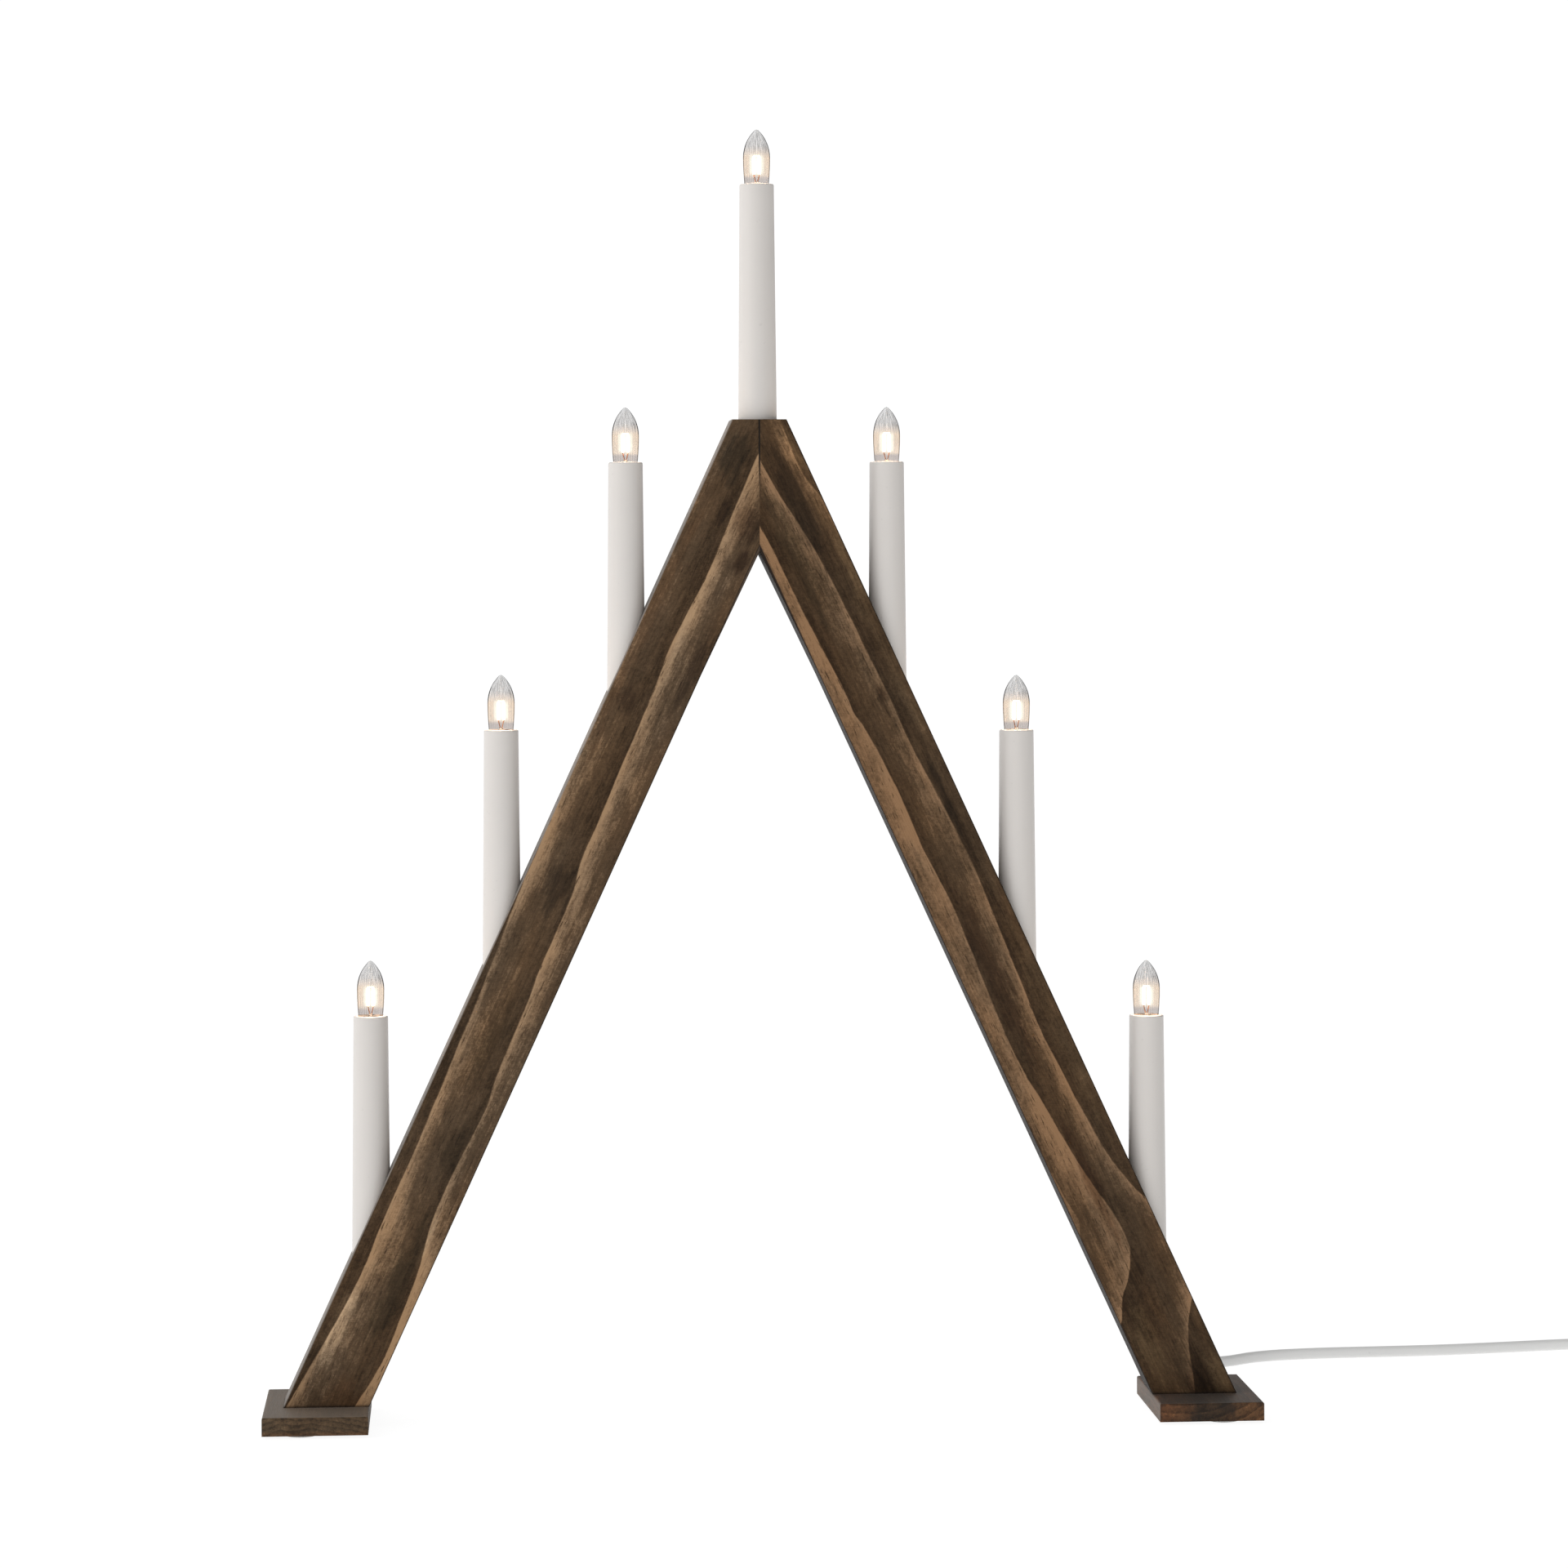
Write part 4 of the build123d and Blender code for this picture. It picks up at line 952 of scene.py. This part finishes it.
def envelope_radius(height):
    """The outline's radius at a height above the rim, both in millimetres."""
    if height < FOOT[1]:
        share = (height - NECK[1]) / (FOOT[1] - NECK[1])
        return NECK[0] + (FOOT[0] - NECK[0]) * share
    if height < BELLY[1]:
        inward, rise = BELLY[0] - FOOT[0], BELLY[1]
    else:
        inward, rise = BELLY[0] - TIP_RADIUS, TIP_HEIGHT - BELLY[1]
    arc = (inward**2 + rise**2) / (2 * inward)
    return BELLY[0] - arc + math.sqrt(arc**2 - (height - BELLY[1]) ** 2)


def skin(name, shrink, depth):
    """One skin of the envelope, extruded ring by ring from its neck to its tip."""
    radius = NECK[0] - shrink
    start = (0, 0, RING_HEIGHTS[0] * MM)
    bpy.ops.mesh.primitive_circle_add(vertices=FLUTES * 4, radius=radius * MM, location=start)
    made = bpy.context.object
    made.name = name
    bpy.ops.object.transform_apply(location=True)
    for drawn_in, corner in ((depth, (2,)), (depth / 2, (1, 3))):
        pick(made, "VERT", lambda vertex: vertex.index % 4 in corner)
        bpy.ops.transform.resize(value=(1 - drawn_in / NECK[0], 1 - drawn_in / NECK[0], 1))
    bpy.ops.mesh.select_all(action="SELECT")
    scale = (TIP_HEIGHT - shrink * 2) / TIP_HEIGHT
    for below, height in zip(RING_HEIGHTS, RING_HEIGHTS[1:]):
        rise = (height - below) * (scale if height > 0 else 1)
        bpy.ops.mesh.extrude_region_move(TRANSFORM_OT_translate={"value": (0, 0, rise * MM)})
        wider = max(envelope_radius(height) - shrink, 0.3)
        bpy.ops.transform.resize(value=(wider / radius, wider / radius, 1))
        radius = wider
    bpy.ops.mesh.extrude_region_move(TRANSFORM_OT_translate={"value": (0, 0, 0.25 * MM)})
    bpy.ops.mesh.merge(type="CENTER")
    bpy.ops.object.mode_set(mode="OBJECT")
    return made


glass = bpy.data.materials.new("lit_fluted_glass")
inner_glass = bpy.data.materials.new("inner_glass")
envelope = skin("fluted_envelope", 0, FLUTE_DEPTH)
envelope.data.materials.append(glass)
inner_skin = skin("envelope_inside", WALL, 0)
inner_skin.data.materials.append(inner_glass)
join(envelope, inner_skin)
bpy.ops.object.mode_set(mode="EDIT")
bpy.ops.mesh.select_all(action="DESELECT")
bpy.ops.mesh.select_non_manifold()
bpy.ops.mesh.bridge_edge_loops()
bpy.ops.mesh.select_all(action="SELECT")
bpy.ops.mesh.remove_doubles(threshold=0.000005)
face_outwards()
bpy.ops.object.shade_smooth_by_angle(angle=math.radians(50))
size = [round(v / MM, 2) for v in envelope.dimensions]
print("envelope", len(envelope.data.vertices), "points, size in mm", size)

# %% [markdown]
# All seven bulbs share one glass. To draw the same glow in each, its material must
# know how far a place is from its own candle, and a group finds that: it picks the
# candle whose column the place lies in, and gives the distance sideways from its
# middle, the height above its rim, and the direction straight out from its axis.

# %% Place within a candle
COLUMN = 0.02
column, _, out = new_group(
    "place_within_a_candle", (),
    (("Height", "Float"), ("Turn", "Float"), ("Radius", "Float"), ("Outward", "Vector")),
)
place = split(column, spot(column))
axis_x, rim_z = 0.0, 0.0
for x, _, z in rims.values():
    aside = calc(column, "ABSOLUTE", calc(column, "SUBTRACT", place["X"], x))
    near = calc(column, "LESS_THAN", aside, COLUMN)
    axis_x = calc(column, "MULTIPLY_ADD", near, x, axis_x)
    rim_z = calc(column, "MULTIPLY_ADD", near, z, rim_z)
sideways = calc(column, "SUBTRACT", place["X"], axis_x)
depth_squared = calc(column, "MULTIPLY", place["Y"], place["Y"])
radius = calc(column, "SQRT", calc(column, "MULTIPLY_ADD", sideways, sideways, depth_squared))
outward = put(column, "CombineXYZ", {0: sideways, 1: place["Y"], 2: 0.0}).outputs[0]
outward = put(column, "VectorMath", {0: outward}, operation="NORMALIZE").outputs[0]
feed(out, {
    "Height": calc(column, "SUBTRACT", place["Z"], rim_z), "Radius": radius,
    "Turn": calc(column, "ARCTAN2", place["Y"], sideways), "Outward": outward,
})
print(column.name, "for", len(rims), "candles")

# %% [markdown]
# The lit glass. Light passes straight through the outer skin, tinted: grey-beige at
# the bottom where the cap shines through, peach round the filaments, a painted glow of
# their light, and clear above, with grey streaks where the flutes run together. Towards
# the bulb's sides that skin is seen edge on and darkens. The inner skin is plain,
# hardly clouded glass. The filaments' glare is painted as a pale glow that the glass
# gives off in the middle of the peach part, and a thin gloss lies over both skins.

# %% Lit glass


def bare_tree(material):
    """A material's tree without its Principled shader."""
    material.use_nodes = True
    tree = material.node_tree
    tree.nodes.remove(tree.nodes["Principled BSDF"])
    return tree


def see_through(tree, color, roughness, share):
    """Tinted light straight through, with a share of gloss."""
    through = put(tree, "BsdfTransparent", {"Color": color}).outputs[0]
    gloss = put(tree, "BsdfAnisotropic", {"Color": (1, 1, 1, 1), "Roughness": roughness}).outputs[0]
    return put(tree, "MixShader", {0: share, 1: through, 2: gloss}).outputs[0]


BULB_HEIGHT = 0.027
GLARE_BOTTOM, GLARE_TOP = (0.0036, 0.0064), (0.0155, 0.0122)
tree = bare_tree(glass)
candle = group_node(tree, column).outputs
height = calc(tree, "DIVIDE", candle["Height"], BULB_HEIGHT)
# Object coordinates stay with the bulb when it turns, but Layer Weight takes its normal in the world's.
spaces = {"vector_type": "NORMAL", "convert_from": "OBJECT", "convert_to": "WORLD"}
outward = put(tree, "VectorTransform", {0: candle["Outward"]}, **spaces).outputs[0]
flat_facing = put(tree, "LayerWeight", {"Blend": 0.5, "Normal": outward}).outputs["Facing"]
facing = put(tree, "LayerWeight", {"Blend": 0.5}).outputs["Facing"]
# The peach in the middle of this tint is a painted glow of the filaments' light.
tint = ramp(
    tree, height,
    (0.0, (0.80, 0.765, 0.745)), (0.11, (0.81, 0.77, 0.75)), (0.16, (0.98, 0.90, 0.82)),
    (0.5, (0.98, 0.89, 0.80)), (0.6, (0.96, 0.91, 0.87)), (0.7, (0.95, 0.94, 0.935)),
    (1.0, (0.94, 0.94, 0.94)),
)
spin = calc(tree, "MULTIPLY", candle["Turn"], 9.0)
upwards = calc(tree, "MULTIPLY", candle["Height"], 60.0)
streak_place = put(tree, "CombineXYZ", {0: spin, 1: upwards, 2: candle["Radius"]}).outputs[0]
streak = noise(tree, streak_place, 1.6, 3.0, 0.7)
dark_streak = calc(tree, "MULTIPLY", step(tree, streak, 0.47, 0.62), step(tree, height, 0.5, 0.75, 0.05, 0.5))
flute = calc(tree, "SINE", calc(tree, "MULTIPLY", candle["Turn"], float(FLUTES)))
flute = calc(tree, "MULTIPLY_ADD", flute, 0.5, 0.5)
fine = calc(tree, "MULTIPLY", calc(tree, "MULTIPLY", flute, flute), 0.13)
edge_on = step(tree, calc(tree, "MAXIMUM", flat_facing, facing), 0.6, 0.92)
rim_dark = calc(tree, "MULTIPLY", edge_on, step(tree, height, 0.45, 0.62, 0.22, 0.7))
clear = 1.0
for part in (dark_streak, fine, rim_dark):
    clear = calc(tree, "SUBTRACT", clear, part)
clear = calc(tree, "MAXIMUM", clear, 0.05)
gloss_share = calc(tree, "MULTIPLY_ADD", facing, 0.08, 0.015)
body = see_through(tree, times(tree, tint, grey(tree, clear)), 0.12, gloss_share)
# The glass itself gives off a pale glow here: the filaments' glare, painted on.
upper = step(tree, candle["Height"], *GLARE_TOP)
glare = calc(tree, "MULTIPLY", step(tree, candle["Height"], *GLARE_BOTTOM), upper)
glare = calc(tree, "MULTIPLY", glare, step(tree, flat_facing, 0.24, 0.04))
glow_strength = calc(tree, "MULTIPLY", glare, 0.25)
halo = put(tree, "Emission", {"Color": (0.62, 0.88, 0.86, 1), "Strength": glow_strength}).outputs[0]
lit = put(tree, "AddShader", {0: body, 1: halo}).outputs[0]
feed(tree.nodes["Material Output"], {"Surface": lit})

tree = bare_tree(inner_glass)
haze = ramp(tree, noise(tree, spot(tree), 500.0), (0.3, (0.95, 0.95, 0.95)), (0.7, (1, 1, 1)))
feed(tree.nodes["Material Output"], {"Surface": see_through(tree, haze, 0.1, 0.02)})

# Each copy's mesh is moved, and not the copy itself, so that its origin stays at the world's.
for name, rim in rims.items():
    copy = envelope.copy()
    copy.data = envelope.data.copy()
    copy.name = f"fluted_envelope_{name}"
    into_scene(copy)
    copy.data.transform(Matrix.Translation(rim))
    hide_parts(f"bulb_envelope_{name}")
    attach(copy, f"bulb_{name}")
bpy.data.objects.remove(envelope)
print("envelopes in place", len(rims))

# %% [markdown]
# Inside, the filaments glow almost white along their lit length, and below it their
# leads are bare copper, warm in the light. The glass stem under them is clear. A tiny
# lamp in each bulb throws the glow on the top of the sleeve.

# %% Filaments, stems and lamps
LIT_FROM, LIT_TO = 0.0047, 0.0150
hot, tree, shader = finish_named("hot_filament")
candle = group_node(tree, column).outputs
above = calc(tree, "GREATER_THAN", candle["Height"], LIT_FROM)
below = calc(tree, "LESS_THAN", candle["Height"], LIT_TO)
burning = calc(tree, "MULTIPLY", above, below)
uneven = noise(tree, spot(tree), 900.0)
copper = ramp(tree, uneven, (0.3, (0.62, 0.25, 0.12)), (0.7, (0.9, 0.45, 0.25)))
strength = calc(tree, "MULTIPLY", burning, calc(tree, "MULTIPLY_ADD", uneven, 2.0, 3.0))
feed(shader, {
    "Base Color": copper, "Metallic": calc(tree, "SUBTRACT", 1.0, burning), "Roughness": 0.3,
    "Emission Color": (1.0, 0.9, 0.68, 1), "Emission Strength": strength,
})
dress(hot, *seven("bulb_filaments"))

stem_glass, tree, shader = finish_named("clear_stem")
bubble = noise(tree, spot(tree), 1300.0)
cloudy = ramp(tree, bubble, (0.35, (0.86, 0.78, 0.7)), (0.65, (0.98, 0.95, 0.92)))
feed(shader, {"Base Color": cloudy, "Transmission Weight": 0.85, "Roughness": 0.15, "IOR": 1.45})
dress(stem_glass, *seven("bulb_stem"))

GLOW_FORWARD, GLOW_HEIGHT = 0.003, 0.0065
for name, rim in rims.items():
    glow = bpy.data.lights.new(f"glow_{name}", "POINT")
    glow.energy = 0.02
    glow.color = (1.0, 0.83, 0.66)
    glow.shadow_soft_size = 0.003
    lamp = bpy.data.objects.new(f"glow_{name}", glow)
    into_scene(lamp)
    lamp.location = (rim[0], rim[1] - GLOW_FORWARD, rim[2] + GLOW_HEIGHT)
    lamp.visible_glossy = False
print("lamps in the bulbs", len(rims))

# %% Finish
low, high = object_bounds()
